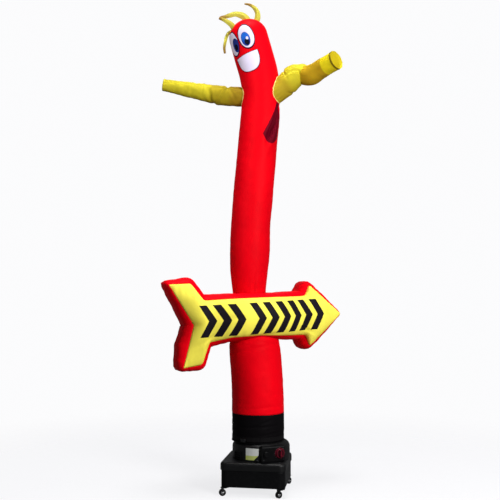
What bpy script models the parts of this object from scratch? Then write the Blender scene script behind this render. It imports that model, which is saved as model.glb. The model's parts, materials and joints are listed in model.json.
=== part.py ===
"""Inflatable air dancer standing on its blower, in metres with +Z up and the floor at z = 0.

The blower is squared to the axes with its front towards -Y. The cloth figure is modelled in a frame of its
own (its foot on the blower's outlet, the viewer towards -Y) and is turned on the outlet by DANCER_TURN.
"""

from collections import namedtuple
from math import asin, ceil, cos, hypot, pi, radians, sin

import bmesh
import bpy
import numpy as np
from mathutils import Matrix

# ------------------------------------------------------------------ driving dimensions
FOOT_X, FOOT_Y = 0.055, 0.003           # the outlet's axis: the whole thing's box is centred on the origin
DANCER_TURN = radians(9)                # the figure stands turned on its blower
GAP = 0.0003                            # between pieces that touch
CLOTH = 0.002                           # nylon with its seams and hems
SIDES = 28                              # round the big sleeve
ARM_SIDES = 16
RING_STEP = 0.135                       # between the rings of a sleeve

BASE_SIZE, BASE_BOTTOM, BASE_TOP, BASE_SHIFT_X = 0.55, 0.0765, 0.287, -0.0095
BASE_CORNER, BASE_LIP, BASE_LIP_HEIGHT, BASE_SLOPE = 0.055, 0.007, 0.071, 0.024
DRUM_RADIUS, DRUM_SHIFT_X, DRUM_TOP, DRUM_SHOULDER = 0.252, 0.027, 0.437, 0.052
FLANGE_RADIUS, FLANGE_HEIGHT = 0.232, 0.006
NECK_RADIUS, NECK_WALL, NECK_TOP = 0.2205, 0.004, 0.56
NECK_FLOOR = 0.012                      # plate that closes the neck's foot

COLLAR_TOP = 0.676
SLEEVE_RADIUS = 0.2285                  # an outlet 457 mm (18 inches) across
STRAP_Z, STRAP_WIDTH, STRAP_THICK = 0.470, 0.036, 0.002
BUCKLE_ANGLE, BUCKLE_Z = radians(-124), 0.4600
BUCKLE = 0.012, 0.048, 0.030            # its size off the sleeve, round it and up

# Sleeve sections: place in the figure's frame and radius of the inflated cloth
Section = namedtuple("Section", "x y z radius")

COLLAR = (
    Section(0.000, 0.0, 0.4436, 0.2262),
    Section(0.000, 0.0, 0.4920, 0.2262),
    Section(0.000, 0.0, 0.5300, 0.2292),
    Section(0.000, 0.0, 0.6000, 0.2292),
    Section(0.000, 0.0, COLLAR_TOP, SLEEVE_RADIUS),
)
LOWER_SLEEVE = (
    Section(0.000, 0.0, COLLAR_TOP + GAP, SLEEVE_RADIUS),
    Section(-0.005, 0.0, 0.910, 0.2285),
    Section(-0.016, 0.0, 1.085, 0.2270),
    Section(-0.030, 0.0, 1.240, 0.2245),
    Section(-0.038, 0.0, 1.330, 0.2130),
    Section(-0.055, 0.0, 1.430, 0.1700),
    Section(-0.066, 0.0, 1.540, 0.1450),
)
UPPER_SLEEVE = (
    Section(-0.066, 0.0, 1.540 + GAP, 0.1450),
    Section(-0.079, 0.0, 1.740, 0.1480),
    Section(-0.080, 0.0, 1.838, 0.1590),
    Section(-0.076, 0.0, 2.017, 0.1755),
    Section(-0.060, 0.0, 2.377, 0.1765),
    Section(-0.031, 0.0, 2.739, 0.1785),
    Section(0.002, 0.0, 3.103, 0.1775),
    Section(0.025, 0.0, 3.379, 0.1735),
    Section(0.028, 0.0, 3.540, 0.1715),
    Section(0.009, 0.0, 3.702, 0.1755),
    Section(-0.037, 0.0, 3.876, 0.1775),
    Section(-0.085, 0.0, 4.050, 0.1760),
)
HEAD_DOME = 0.160                       # height of the rounded crown over the last section
DOME_TILTS = (20, 40, 58, 74)           # degrees up the crown, one ring at each

LEFT_ARM = (
    Section(-0.060, 0.02, 3.506, 0.0850),
    Section(-0.242, 0.02, 3.508, 0.0865),
    Section(-0.400, 0.03, 3.530, 0.0835),
    Section(-0.453, 0.03, 3.541, 0.0785),
    Section(-0.500, 0.04, 3.552, 0.0790),
    Section(-0.575, 0.04, 3.567, 0.0705),
    Section(-0.620, 0.05, 3.577, 0.0700),
    Section(-0.770, 0.06, 3.609, 0.0580),
    Section(-0.866, 0.06, 3.626, 0.0535),
)
RIGHT_ARM = (
    Section(0.070, -0.038, 3.460, 0.0970),
    Section(0.208, -0.040, 3.562, 0.0990),
    Section(0.275, -0.044, 3.620, 0.1030),
    Section(0.332, -0.044, 3.680, 0.1020),
    Section(0.380, -0.045, 3.702, 0.0880),
    Section(0.425, -0.060, 3.680, 0.0870),
    Section(0.470, -0.105, 3.668, 0.0900),
    Section(0.560, -0.190, 3.700, 0.0840),
    Section(0.678, -0.305, 3.742, 0.0825),
)

# Hair: tapered streamers of folded nylon, wide across the view and a third as thick
Lock = namedtuple("Lock", "x y z width")
LOCK_FLATNESS = 0.38
HAIR = {
    "hair_crown": (
        Lock(-0.022, -0.02, 4.165, 0.060),
        Lock(-0.004, -0.02, 4.234, 0.055),
        Lock(-0.007, -0.01, 4.284, 0.046),
        Lock(-0.035, 0.00, 4.331, 0.035),
        Lock(-0.075, 0.00, 4.357, 0.026),
        Lock(-0.121, 0.00, 4.366, 0.018),
    ),
    "hair_arch": (
        Lock(-0.082, -0.03, 4.172, 0.062),
        Lock(-0.113, -0.03, 4.222, 0.062),
        Lock(-0.152, -0.03, 4.250, 0.062),
        Lock(-0.204, -0.03, 4.262, 0.060),
        Lock(-0.256, -0.03, 4.246, 0.046),
        Lock(-0.300, -0.03, 4.226, 0.024),
    ),
    "hair_front": (
        Lock(-0.212, -0.070, 4.106, 0.054),
        Lock(-0.238, -0.085, 4.140, 0.054),
        Lock(-0.270, -0.095, 4.162, 0.050),
        Lock(-0.305, -0.095, 4.182, 0.042),
        Lock(-0.350, -0.095, 4.196, 0.024),
    ),
    "hair_hanging": (
        Lock(-0.222, -0.015, 4.110, 0.030),
        Lock(-0.262, -0.022, 4.088, 0.030),
        Lock(-0.284, -0.045, 4.040, 0.029),
        Lock(-0.293, -0.075, 3.984, 0.027),
        Lock(-0.302, -0.080, 3.927, 0.024),
        Lock(-0.297, -0.080, 3.874, 0.018),
    ),
}

# Face: white patches sewn on the head, placed by their height along it and by the angle round it
PATCH_THICK = 0.0012
PATCH_RINGS, PATCH_POINTS = (1.0, 0.76, 0.50, 0.24), 22     # shares of a patch's outline; points round it
SMILE_CENTRE = 0.42                     # of the smile's depth, under its straight top
PATCH_LIFT = 0.0016                     # over the round of the head: a patch clears the sleeve's facets
PATCH_LEAN = radians(4.5)               # of the whole face on the head
Patch = namedtuple("Patch", "along angle half_along half_around flat_top")
FACE = {
    "eye_right": Patch(0.320, radians(-101.2), 0.121, 0.0765, False),
    "eye_left": Patch(0.304, radians(-150.0), 0.121, 0.0700, False),
    "mouth": Patch(0.172, radians(-114.0), 0.178, 0.1180, True),
}

# Arrow: its outline in its own plane, along the arrow and up from its centre line
ARROW_YAW, ARROW_RISE = radians(20), radians(3.2)
ARROW_X, ARROW_Z = -0.062, 1.500        # where the centre line crosses the sleeve's axis
ARROW_HALF_DEPTH = 0.140
ARROW_WAIST, ARROW_WAIST_LENGTH = 0.098, 0.36   # the chamber is deeper where the sleeve passes through it
PANEL_CROWN = 0.085                     # how far the inflated panels stand out at the middle of the bar
Stop = namedtuple("Stop", "top_along top_up low_along low_up bulge")
ARROW_EDGES = (
    Stop(-0.768, 0.331, -0.676, -0.376, 0.036),
    Stop(-0.579, 0.333, -0.514, -0.362, 0.056),
    Stop(-0.470, 0.180, -0.444, -0.178, 0.052),
    Stop(-0.250, 0.184, -0.259, -0.146, 0.045),
    Stop(0.000, 0.181, 0.000, -0.144, 0.040),
    Stop(0.200, 0.176, 0.180, -0.160, 0.038),
    Stop(0.466, 0.170, 0.452, -0.176, 0.050),
    Stop(0.518, 0.268, 0.487, -0.280, 0.044),
    Stop(0.668, 0.128, 0.652, -0.147, 0.034),
    Stop(0.796, 0.010, 0.792, -0.030, 0.016),
)
ARROW_NOTCH, ARROW_TIP = -0.569, 0.812
NOTCH_BULGE = (                         # between the tail's tips, from the lower one at -1 to the upper at 1
    (-1.0, 0.044), (-0.55, 0.078), (0.0, 0.062), (0.22, 0.050), (0.50, 0.040), (0.75, 0.036), (1.0, 0.030),
)
TAIL_PINCH, PINCH_FROM, PINCH_LENGTH = 0.075, -0.580, 0.190     # the back panel comes nearer at the tail's tips
ARROW_STEP = 0.075                      # between the columns of the panels
ARROW_ROWS = 8                          # from the lower edge to the upper one
BAND_RINGS = 6                          # from the front panel to the back one
TAIL_ROUND, NOSE_ROUND = 0.22, 0.30     # over which the panels swell at the two ends
FULL_CROWN_HEIGHT = 0.33                # lower parts of the arrow swell less

# Control pod, on the drum's front right
POD_ANGLE, POD_FACE, POD_WIDTH, POD_BACK = radians(-58.5), 0.2660, 0.220, 0.16
POD_BOTTOM, POD_TOP, POD_ROUND = BASE_TOP + GAP, 0.424, 0.012
PLATE_WIDTH, PLATE_HEIGHT, PLATE_THICK, PLATE_Z = 0.196, 0.108, 0.004, 0.3556
KNOB_ACROSS, KNOB_Z = 0.056, 0.362
KNOB_RADIUS, KNOB_THICK = 0.037, 0.016
GRIP = 0.062, 0.015, 0.024              # its length up, its width and its depth
INLET_ACROSS, INLET_Z, INLET_RADIUS, INLET_THICK = -0.070, 0.358, 0.024, 0.014
TAG_ANGLE, TAG_WIDTH, TAG_HEIGHT, TAG_CUT, TAG_Z = radians(-99.5), 0.116, 0.098, 0.042, 0.354
VENT_ANGLE, VENT_WIDTH, VENT_HEIGHT, VENT_Z = radians(-133), 0.086, 0.070, 0.330
TAG_THICK, TAG_LIFT = 0.0015, 0.0008    # off the drum's facets
VENT_DEEP, VENT_SET_BACK, VENT_SLOTS, VENT_PITCH = 0.030, 0.004, (-1, 0, 1), 0.28
SLOT_DEEP, SLOT_WIDE, SLOT_HIGH = 0.012, 0.78, 0.16             # the last two are shares of the vent's
LUG_ANGLES = {"front": -89, "left": 150, "back": 82, "right": 40}   # degrees round the drum
LUG, LUG_SET_BACK = (0.046, 0.030, 0.022), 0.003

# Casters
CASTER_INSET = 0.036
CASTER_PLATE = 0.068, 0.003
WHEEL_RADIUS, WHEEL_WIDTH, WHEEL_BORE, WHEEL_SIDES = 0.029, 0.022, 0.0042, 24
AXLE_RADIUS, AXLE_OUT = 0.0037, 0.0015  # and how far its ends stand out of the fork
CASTER_TRAIL = 0.024                    # the wheel runs behind its swivel
FORK_CHEEK, FORK_WIDTH, FORK_CLEAR = 0.0025, 0.022, 0.0012
CROWN_THICK, RACE_RADIUS, RACE_THICK = 0.004, 0.017, 0.006      # the fork's crown and the ball race over it
CHEEK_WIDTH, CHEEK_BELOW = 0.016, 0.008 # below the axle
Caster = namedtuple("Caster", "side_x side_y trail_degrees")
CASTERS = {
    "front_left": Caster(-1, -1, 205),
    "front_right": Caster(1, -1, 225),
    "back_left": Caster(-1, 1, 120),
    "back_right": Caster(1, 1, 60),
}

RED = (0.80, 0.004, 0.012)
KNOB_RED = (0.62, 0.012, 0.05)
YELLOW = (0.90, 0.62, 0.03)
ARROW_YELLOW = (0.95, 0.70, 0.04)
WHITE = (0.86, 0.84, 0.88)
BLACK_CLOTH = (0.012, 0.011, 0.012)
BLACK_PLASTIC = (0.020, 0.020, 0.022)
GREY_PLASTIC = (0.045, 0.046, 0.050)
STEEL = (0.55, 0.55, 0.56)
WHEEL_GREY = (0.42, 0.42, 0.43)


# ------------------------------------------------------------------ the scene
for old in list(bpy.data.objects):
    bpy.data.objects.remove(old, do_unlink=True)

parts = bpy.data.collections.new("air_dancer")
cutters = bpy.data.collections.new("cutters")
for collection in (parts, cutters):
    bpy.context.scene.collection.children.link(collection)


def stand(name, matrix, parent=None):
    """An empty that carries other objects."""
    empty = bpy.data.objects.new(name, None)
    empty.parent = parent
    empty.matrix_local = matrix
    parts.objects.link(empty)
    return empty


blower = stand("blower_stand", Matrix.Translation((FOOT_X, FOOT_Y, 0)))
dancer = stand("dancer_stand", Matrix.Rotation(DANCER_TURN, 4, "Z"), blower)


def material(name, colour, roughness, metallic=0.0):
    made = bpy.data.materials.new(name)
    made.use_nodes = True
    shader = made.node_tree.nodes["Principled BSDF"]
    shader.inputs["Base Color"].default_value = (*colour, 1.0)
    shader.inputs["Roughness"].default_value = roughness
    shader.inputs["Metallic"].default_value = metallic
    return made


def add(name, made, parent, colour=None, roughness=0.5, metallic=0.0, round_piece=True):
    """A named object made from a bmesh; one with no colour is a cutter."""
    mesh = bpy.data.meshes.new(name)
    made.to_mesh(mesh)
    made.free()
    if round_piece:
        mesh.shade_smooth()
        mesh.set_sharp_from_angle(angle=radians(35))
    thing = bpy.data.objects.new(name, mesh)
    thing.parent = parent
    if colour is None:
        cutters.objects.link(thing)
        thing.hide_render = True
        thing.display_type = "WIRE"
    else:
        parts.objects.link(thing)
        mesh.materials.append(material(name, colour, roughness, metallic))
    return thing


def thicken(thing, thickness, offset=-1.0):
    """Gives an open surface its thickness, inwards unless offset says otherwise."""
    shell = thing.modifiers.new("thickness", "SOLIDIFY")
    shell.thickness = thickness
    shell.offset = offset
    return thing


def cut(thing, cutter, operation="DIFFERENCE"):
    boolean = thing.modifiers.new(operation.lower(), "BOOLEAN")
    boolean.operation = operation
    boolean.solver = "EXACT"
    boolean.object = cutter
    return thing


def bevel(thing, width, segments=2):
    edge = thing.modifiers.new("edges", "BEVEL")
    edge.width = width
    edge.segments = segments
    edge.limit_method = "ANGLE"
    return thing


# ------------------------------------------------------------------ shapes
def smooth_rows(rows, step):
    """A table's rows, with more read about every `step` metres from the smooth curve through them."""
    table = np.array(rows, float)
    gaps = np.linalg.norm(np.diff(table[:, :3], axis=0), axis=1)
    along = np.concatenate([[0.0], np.cumsum(gaps)])
    slope = np.gradient(table, along, axis=0)
    read = []
    for k, gap in enumerate(gaps):
        pieces = max(1, ceil(gap / step - 0.25))
        for t in np.arange(pieces) / pieces:
            start = (1 + 2 * t) * (1 - t) ** 2 * table[k] + t * (1 - t) ** 2 * gap * slope[k]
            end = t * t * (3 - 2 * t) * table[k + 1] + t * t * (t - 1) * gap * slope[k + 1]
            read.append(start + end)
    return np.array(read + [table[-1]])


def across(centres, side, level=()):
    """The curve's direction, and two unit vectors square to it, at every centre; the first leans to `side`.

    The rings named in `level`, where a sleeve is sewn to the next, are horizontal."""
    ahead = np.gradient(centres, axis=0)
    for ring in level:
        ahead[ring] = (0.0, 0.0, 1.0)
    ahead /= np.linalg.norm(ahead, axis=1)[:, None]
    first = side - (ahead @ side)[:, None] * ahead
    first /= np.linalg.norm(first, axis=1)[:, None]
    return ahead, first, np.cross(ahead, first)


def sleeve_rings(rows, side, sides=SIDES, extra=0.0, dome=0.0, level=()):
    """Rings round a sleeve's centre line, and the tip of its dome; `extra` is added to every radius."""
    centres, radii = rows[:, :3], rows[:, 3] + extra
    ahead, first, second = across(centres, np.array(side, float), level)
    turn = np.arange(sides) * 2 * pi / sides
    ring = np.cos(turn)[:, None] * first[:, None] + np.sin(turn)[:, None] * second[:, None]
    rings = list(centres[:, None] + radii[:, None, None] * ring)
    if not dome:
        return rings, None
    height = dome + extra
    for tilt in np.radians(DOME_TILTS):
        rings.append(centres[-1] + ahead[-1] * height * sin(tilt) + radii[-1] * cos(tilt) * ring[-1])
    return rings, centres[-1] + ahead[-1] * height


def loft(rings, start=None, end=None, around=True):
    """A surface from ring to ring, fanned to the points `start` and `end` where they are given."""
    made = bmesh.new()
    rows = [[made.verts.new(point) for point in ring] for ring in rings]
    count = len(rows[0])
    pairs = [(i, (i + 1) % count) for i in range(count if around else count - 1)]
    for low, high in zip(rows, rows[1:]):
        for i, j in pairs:
            made.faces.new((low[i], low[j], high[j], high[i]))
    if start is not None:
        foot = made.verts.new(start)
        for i, j in pairs:
            made.faces.new((foot, rows[0][j], rows[0][i]))
    if end is not None:
        top = made.verts.new(end)
        for i, j in pairs:
            made.faces.new((top, rows[-1][i], rows[-1][j]))
    return made


def sleeve(name, sections, side, colour, sides=SIDES, step=RING_STEP, dome=0.0, level=()):
    """An open cloth sleeve through a table of sections."""
    rings, tip = sleeve_rings(smooth_rows(sections, step), side, sides, 0.0, dome, level)
    return thicken(add(name, loft(rings, end=tip), dancer, colour, 0.55), CLOTH)


def sleeve_solid(name, sections, side, extra, sides=SIDES, step=RING_STEP, dome=0.0, level=()):
    """A closed solid with the outside of a sleeve, for cutting what meets it."""
    rows = smooth_rows(sections, step)
    rings, tip = sleeve_rings(rows, side, sides, extra, dome, level)
    return add(name, loft(rings, rows[0, :3], rows[-1, :3] if tip is None else tip), dancer)


def box(name, size, parent, colour=None, roughness=0.5, metallic=0.0):
    made = bmesh.new()
    bmesh.ops.create_cube(made, size=1.0)
    bmesh.ops.scale(made, vec=size, verts=made.verts)
    return add(name, made, parent, colour, roughness, metallic, round_piece=False)


def rod(name, radius, length, parent, colour=None, roughness=0.5, metallic=0.0, sides=24):
    """A cylinder along Z, with a flat side facing -Y."""
    made = bmesh.new()
    bmesh.ops.create_cone(made, cap_ends=True, segments=sides, radius1=radius, radius2=radius, depth=length)
    bmesh.ops.rotate(made, matrix=Matrix.Rotation(pi / sides, 3, "Z"), verts=made.verts)
    return add(name, made, parent, colour, roughness, metallic)


def turned(name, profile, parent, colour=None, roughness=0.5, sides=48):
    """A profile of (radius, height) pairs, from the axis down its outside and back, turned about Z."""
    mesh = bpy.data.meshes.new(name)
    edges = [(i, i + 1) for i in range(len(profile) - 1)]
    mesh.from_pydata([(radius, 0.0, height) for radius, height in profile], edges, [])
    made = bmesh.new()
    made.from_mesh(mesh)
    bpy.data.meshes.remove(mesh)
    thing = add(name, made, parent, colour, roughness)
    screw = thing.modifiers.new("turn", "SCREW")
    screw.steps = screw.render_steps = sides
    screw.use_merge_vertices = True
    screw.merge_threshold = 0.00002
    screw.use_smooth_shade = True
    return thing


# ------------------------------------------------------------------ the cloth figure
def build_sleeves():
    """The red sleeve in two lengths, the black collar under it and the two yellow arms."""
    sleeve("sleeve_lower", LOWER_SLEEVE, (1, 0, 0), RED, level=(0, -1))
    upper = sleeve("sleeve_upper", UPPER_SLEEVE, (1, 0, 0), RED, dome=HEAD_DOME, level=(0,))
    sleeve("collar", COLLAR, (1, 0, 0), BLACK_CLOTH, step=0.07, level=(0, -1))
    outside = sleeve_solid("sleeve_outside", UPPER_SLEEVE, (1, 0, 0), GAP, dome=HEAD_DOME, level=(0,))
    for name, sections in (("arm_left", LEFT_ARM), ("arm_right", RIGHT_ARM)):
        arm = sleeve(name, sections, (0, 0, 1), YELLOW, sides=ARM_SIDES, step=0.08)
        cut(arm, outside)
        bore = sleeve_solid(f"{name}_bore", sections[:2], (0, 0, 1), -CLOTH, sides=ARM_SIDES, step=0.08)
        cut(upper, bore)
    return outside


def build_hair(outside):
    """Tapered streamers sewn to the head."""
    for name, rows in HAIR.items():
        table = smooth_rows([(lock.x, lock.y, lock.z, lock.width / 2) for lock in rows], 0.03)
        rings, _ = sleeve_rings(table, (0, 1, 0), sides=8)
        centres = table[:, :3]
        for ring, centre in zip(rings, centres):
            ring[:, 1] = centre[1] + LOCK_FLATNESS * (ring[:, 1] - centre[1])
        cut(add(name, loft(rings, centres[0], centres[-1]), dancer, YELLOW, 0.5), outside)


def head_point(along, angle, lift):
    """The point on the head at a height along it and an angle round it, `lift` metres off the cloth."""
    rows = smooth_rows(UPPER_SLEEVE[-4:], 0.02)
    neck, crown = np.array(UPPER_SLEEVE[-3][:3]), rows[-1, :3]
    length = np.linalg.norm(crown - neck)
    height = (rows[:, :3] - neck) @ (crown - neck) / length
    ahead, first, second = across(rows[:, :3], np.array((1.0, 0.0, 0.0)))
    outwards = cos(angle) * first + sin(angle) * second
    if along <= length:
        centre, outward, radius = (
            np.array([np.interp(along, height, column) for column in table.T])
            for table in (rows[:, :3], outwards, rows[:, 3:])
        )
        return centre + (radius + lift) * outward / np.linalg.norm(outward)
    tilt, radius = asin(min(1.0, (along - length) / HEAD_DOME)), rows[-1, 3]
    normal = cos(tilt) * outwards[-1] / radius + sin(tilt) * ahead[-1] / HEAD_DOME
    on_dome = crown + ahead[-1] * (along - length) + radius * cos(tilt) * outwards[-1]
    return on_dome + lift * normal / np.linalg.norm(normal)


def patch_outline(patch):
    """Points round a patch, from its centre: an oval, or a smile with a straight top."""
    turn = np.arange(PATCH_POINTS) * 2 * pi / PATCH_POINTS
    around, along = patch.half_around * np.cos(turn), patch.half_along * np.sin(turn)
    if patch.flat_top:
        power = 2 / 2.4
        around = patch.half_around * np.sign(np.cos(turn)) * np.abs(np.cos(turn)) ** power
        below = np.where(np.sin(turn) > 0, 0.0, -patch.half_along * np.abs(np.sin(turn)) ** power)
        along = below + patch.half_along * SMILE_CENTRE
    c, s = cos(PATCH_LEAN), sin(PATCH_LEAN)
    return np.column_stack([c * along + s * around, c * around - s * along])


def build_face():
    """White eyes and mouth, thin patches that follow the head."""
    radius = UPPER_SLEEVE[-2].radius
    for name, patch in FACE.items():
        outline = patch_outline(patch)
        middle = patch.along - (patch.half_along * SMILE_CENTRE if patch.flat_top else 0.0)

        def place(offset):
            return head_point(middle + offset[0], patch.angle + offset[1] / radius, PATCH_LIFT)

        rings = [[place(offset * share) for offset in outline] for share in PATCH_RINGS]
        made = loft(rings, end=place(np.zeros(2)))
        thicken(add(name, made, dancer, WHITE, 0.5), PATCH_THICK, offset=1.0)


# ------------------------------------------------------------------ the arrow
def arrow_frame():
    """The arrow's plane: along it, up in it, and out towards its front."""
    along = np.array((cos(ARROW_YAW) * cos(ARROW_RISE), sin(ARROW_YAW) * cos(ARROW_RISE), sin(ARROW_RISE)))
    front = np.array((sin(ARROW_YAW), -cos(ARROW_YAW), 0.0))
    return along, np.cross(front, along), front


def half_depth(along, side):
    """Half the chamber's depth at its seams: wider at the waist, where the sleeve passes. At the back the tail's
    tips are pinched in."""
    pinch = TAIL_PINCH * np.clip((PINCH_FROM - along) / PINCH_LENGTH, 0, 1) ** 1.5 if side < 0 else 0.0
    return ARROW_HALF_DEPTH + ARROW_WAIST * np.exp(-((along / ARROW_WAIST_LENGTH) ** 4)) - pinch


def arrow_columns():
    """The arrow's upper and lower edges and their bulge, read about every ARROW_STEP along them."""
    rows = []
    for stop, after in zip(ARROW_EDGES, ARROW_EDGES[1:]):
        here, there = np.array(stop), np.array(after)
        pieces = max(1, round(np.linalg.norm((there - here)[:2]) / ARROW_STEP))
        rows += [here + (there - here) * k / pieces for k in range(pieces)]
    return np.array(rows + [np.array(ARROW_EDGES[-1])])


def arrow_place(along, up, depth):
    """Points in the figure's frame from the arrow's own measures."""
    ahead, upward, front = arrow_frame()
    centre = np.array((ARROW_X, 0.0, ARROW_Z))
    return centre + along[..., None] * ahead + up[..., None] * upward + depth[..., None] * front


def panel_grid(side):
    """One face of the arrow: rows up its height, columns along it; the tail's columns are chevrons."""
    top_along, top_up, low_along, low_up, _ = arrow_columns().T
    share = np.linspace(-1, 1, ARROW_ROWS + 1)[:, None]
    rise = (share + 1) / 2
    tail, neck, head, tip = (ARROW_EDGES[k].top_along for k in (0, 2, -3, -1))
    along = low_along + rise * (top_along - low_along)
    up = low_up + rise * (top_up - low_up)
    notch = (ARROW_NOTCH - along[ARROW_ROWS // 2, 0]) * np.clip((neck - top_along) / (neck - tail), 0, 1)
    nose = (ARROW_TIP - tip) * np.clip((top_along - head) / (tip - head), 0, 1)
    along = along + (1 - np.abs(share)) * notch + (1 - share ** 2) * nose
    ends = np.minimum((top_along - tail) / TAIL_ROUND, (ARROW_TIP - top_along) / NOSE_ROUND)
    crown = np.sqrt(1 - share ** 2) * np.sin(np.clip(ends, 0, 1) * pi / 2) ** 0.8
    depth = half_depth(along, side) + PANEL_CROWN * crown * np.clip((top_up - low_up) / FULL_CROWN_HEIGHT, 0, 1)
    return arrow_place(along, up, side * depth), along, up


def arrow_rim(grid):
    """The points round the edge of a grid of rows and columns."""
    return np.concatenate([grid[0], grid[1:-1, -1], grid[-1, ::-1], grid[-2:0:-1, 0]])


def build_arrow(outside):
    """Front and back panels, and the red band between their edges with its two holes for the sleeve."""
    for name, side in (("arrow_front", 1), ("arrow_back", -1)):
        grid, along, up = panel_grid(side)
        made = loft(grid if side < 0 else grid[:, ::-1], around=False)
        thicken(add(name, made, dancer, ARROW_YELLOW, 0.5), CLOTH)
    rim_along, rim_up = arrow_rim(along), arrow_rim(up)
    swell = arrow_columns()[:, 4]
    nose = np.full(ARROW_ROWS - 1, swell[-1])
    notch = np.interp(np.linspace(-1, 1, ARROW_ROWS + 1)[-2:0:-1], *np.transpose(NOTCH_BULGE))
    bulge = np.concatenate([swell, nose, swell[::-1], notch])
    step = np.roll(rim_along, -1) - np.roll(rim_along, 1), np.roll(rim_up, -1) - np.roll(rim_up, 1)
    size = np.hypot(*step)
    outwards = step[1] / size, -step[0] / size
    rings = []
    for share in np.linspace(-1, 1, BAND_RINGS):
        swell = bulge * (1 - share ** 2)
        depth = share * (half_depth(rim_along, share) - CLOTH / 2 - GAP)
        rings.append(arrow_place(rim_along + swell * outwards[0], rim_up + swell * outwards[1], depth))
    band = thicken(add("arrow_band", loft(rings[::-1]), dancer, RED, 0.55), CLOTH)
    cut(band, sleeve_solid("lower_outside", LOWER_SLEEVE, (1, 0, 0), GAP, level=(0, -1)))
    cut(band, outside)


# ------------------------------------------------------------------ the blower
def build_base():
    """The wheeled base: a tray under a lid whose lip overhangs it."""
    lid_bottom = BASE_TOP - BASE_LIP_HEIGHT
    tray_height = lid_bottom - GAP - BASE_BOTTOM
    shapes = (
        ("base_tray", BASE_SIZE, BASE_BOTTOM, tray_height, GREY_PLASTIC),
        ("base_lid", BASE_SIZE + 2 * BASE_LIP, lid_bottom, BASE_LIP_HEIGHT, BLACK_PLASTIC),
    )
    for name, size, bottom, height, colour in shapes:
        made = bmesh.new()
        bmesh.ops.create_cube(made, size=1.0)
        bmesh.ops.scale(made, vec=(size, size, height), verts=made.verts)
        upright = [edge for edge in made.edges if abs(edge.verts[0].co.z - edge.verts[1].co.z) > height / 2]
        bmesh.ops.bevel(made, geom=upright, offset=BASE_CORNER, segments=6, profile=0.5, affect="EDGES")
        if name == "base_lid":
            high = [edge for edge in made.edges if min(vert.co.z for vert in edge.verts) > height * 0.49]
            bmesh.ops.bevel(made, geom=high, offset=BASE_SLOPE, segments=3, profile=0.5, affect="EDGES")
        thing = add(name, made, blower, colour, 0.45)
        thing.location = (BASE_SHIFT_X, 0, bottom + height / 2)
        bevel(thing, 0.006, 2)


def drum_profile(grow):
    """The drum's profile, grown by a clearance."""
    radius, top, shoulder = DRUM_RADIUS + grow, DRUM_TOP + grow, DRUM_SHOULDER
    bottom = BASE_TOP + GAP - 3 * grow
    arc = [
        (radius - shoulder + shoulder * sin(turn), top - shoulder + shoulder * cos(turn))
        for turn in np.radians(range(0, 91, 18))
    ]
    return [(0.0, top), *arc, (radius, bottom), (0.0, bottom)]


def build_drum():
    """The fan's housing, with the outlet's flange and neck on it."""
    drum = turned("fan_drum", drum_profile(0.0), blower, GREY_PLASTIC, 0.35)
    drum.location.x = DRUM_SHIFT_X
    keep = turned("drum_clearance", drum_profile(GAP), blower)
    keep.location.x = DRUM_SHIFT_X
    low, high = DRUM_TOP + GAP, DRUM_TOP + GAP + FLANGE_HEIGHT
    turned("outlet_flange", [(0, high), (FLANGE_RADIUS, high), (FLANGE_RADIUS, low), (0, low)], blower,
           BLACK_PLASTIC)
    foot, inner = high + GAP, NECK_RADIUS - NECK_WALL
    neck = [(0, foot + NECK_FLOOR), (inner, foot + NECK_FLOOR), (inner, NECK_TOP), (NECK_RADIUS, NECK_TOP),
            (NECK_RADIUS, foot), (0, foot)]
    turned("outlet_neck", neck, blower, BLACK_PLASTIC)
    return keep


def facing(angle, distance, height, x=0.0, aside=0.0):
    """A place `distance` from the axis at x, with its own +X outwards, +Y round the axis and +Z up."""
    spot = Matrix.Translation((x, 0, height)) @ Matrix.Rotation(angle, 4, "Z")
    return spot @ Matrix.Translation((distance, aside, 0))


def build_controls(keep):
    """The control pod with its faceplate, rotary switch and the cap on its power inlet."""
    pod = box("control_pod", (POD_BACK, POD_WIDTH, POD_TOP - POD_BOTTOM), blower, GREY_PLASTIC, 0.35)
    pod.matrix_local = facing(POD_ANGLE, POD_FACE - POD_BACK / 2, (POD_TOP + POD_BOTTOM) / 2, DRUM_SHIFT_X)
    bevel(pod, POD_ROUND, 3)
    cut(pod, keep)
    plate = box("control_faceplate", (PLATE_THICK, PLATE_WIDTH, PLATE_HEIGHT), blower, BLACK_PLASTIC, 0.3)
    plate.matrix_local = facing(POD_ANGLE, POD_FACE + GAP + PLATE_THICK / 2, PLATE_Z, DRUM_SHIFT_X)
    bevel(plate, 0.0012, 1)
    seat = POD_FACE + GAP + PLATE_THICK + GAP
    lay = Matrix.Rotation(pi / 2, 4, "Y")
    knob = rod("rotary_knob", KNOB_RADIUS, KNOB_THICK, blower, KNOB_RED, 0.35, sides=32)
    knob.matrix_local = facing(POD_ANGLE, seat + KNOB_THICK / 2, KNOB_Z, DRUM_SHIFT_X, KNOB_ACROSS) @ lay
    grip = box("grip", GRIP, blower)
    stands_out = KNOB_THICK + GRIP[2] / 4
    grip.matrix_local = facing(POD_ANGLE, seat + stands_out, KNOB_Z, DRUM_SHIFT_X, KNOB_ACROSS) @ lay
    bevel(knob, 0.002, 2)
    cut(knob, grip, "UNION")
    cap = rod("inlet_cap", INLET_RADIUS, INLET_THICK, blower, BLACK_PLASTIC, 0.4)
    cap.matrix_local = facing(POD_ANGLE, seat + INLET_THICK / 2, INLET_Z, DRUM_SHIFT_X, INLET_ACROSS) @ lay
    bevel(cap, 0.004, 2)


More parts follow.
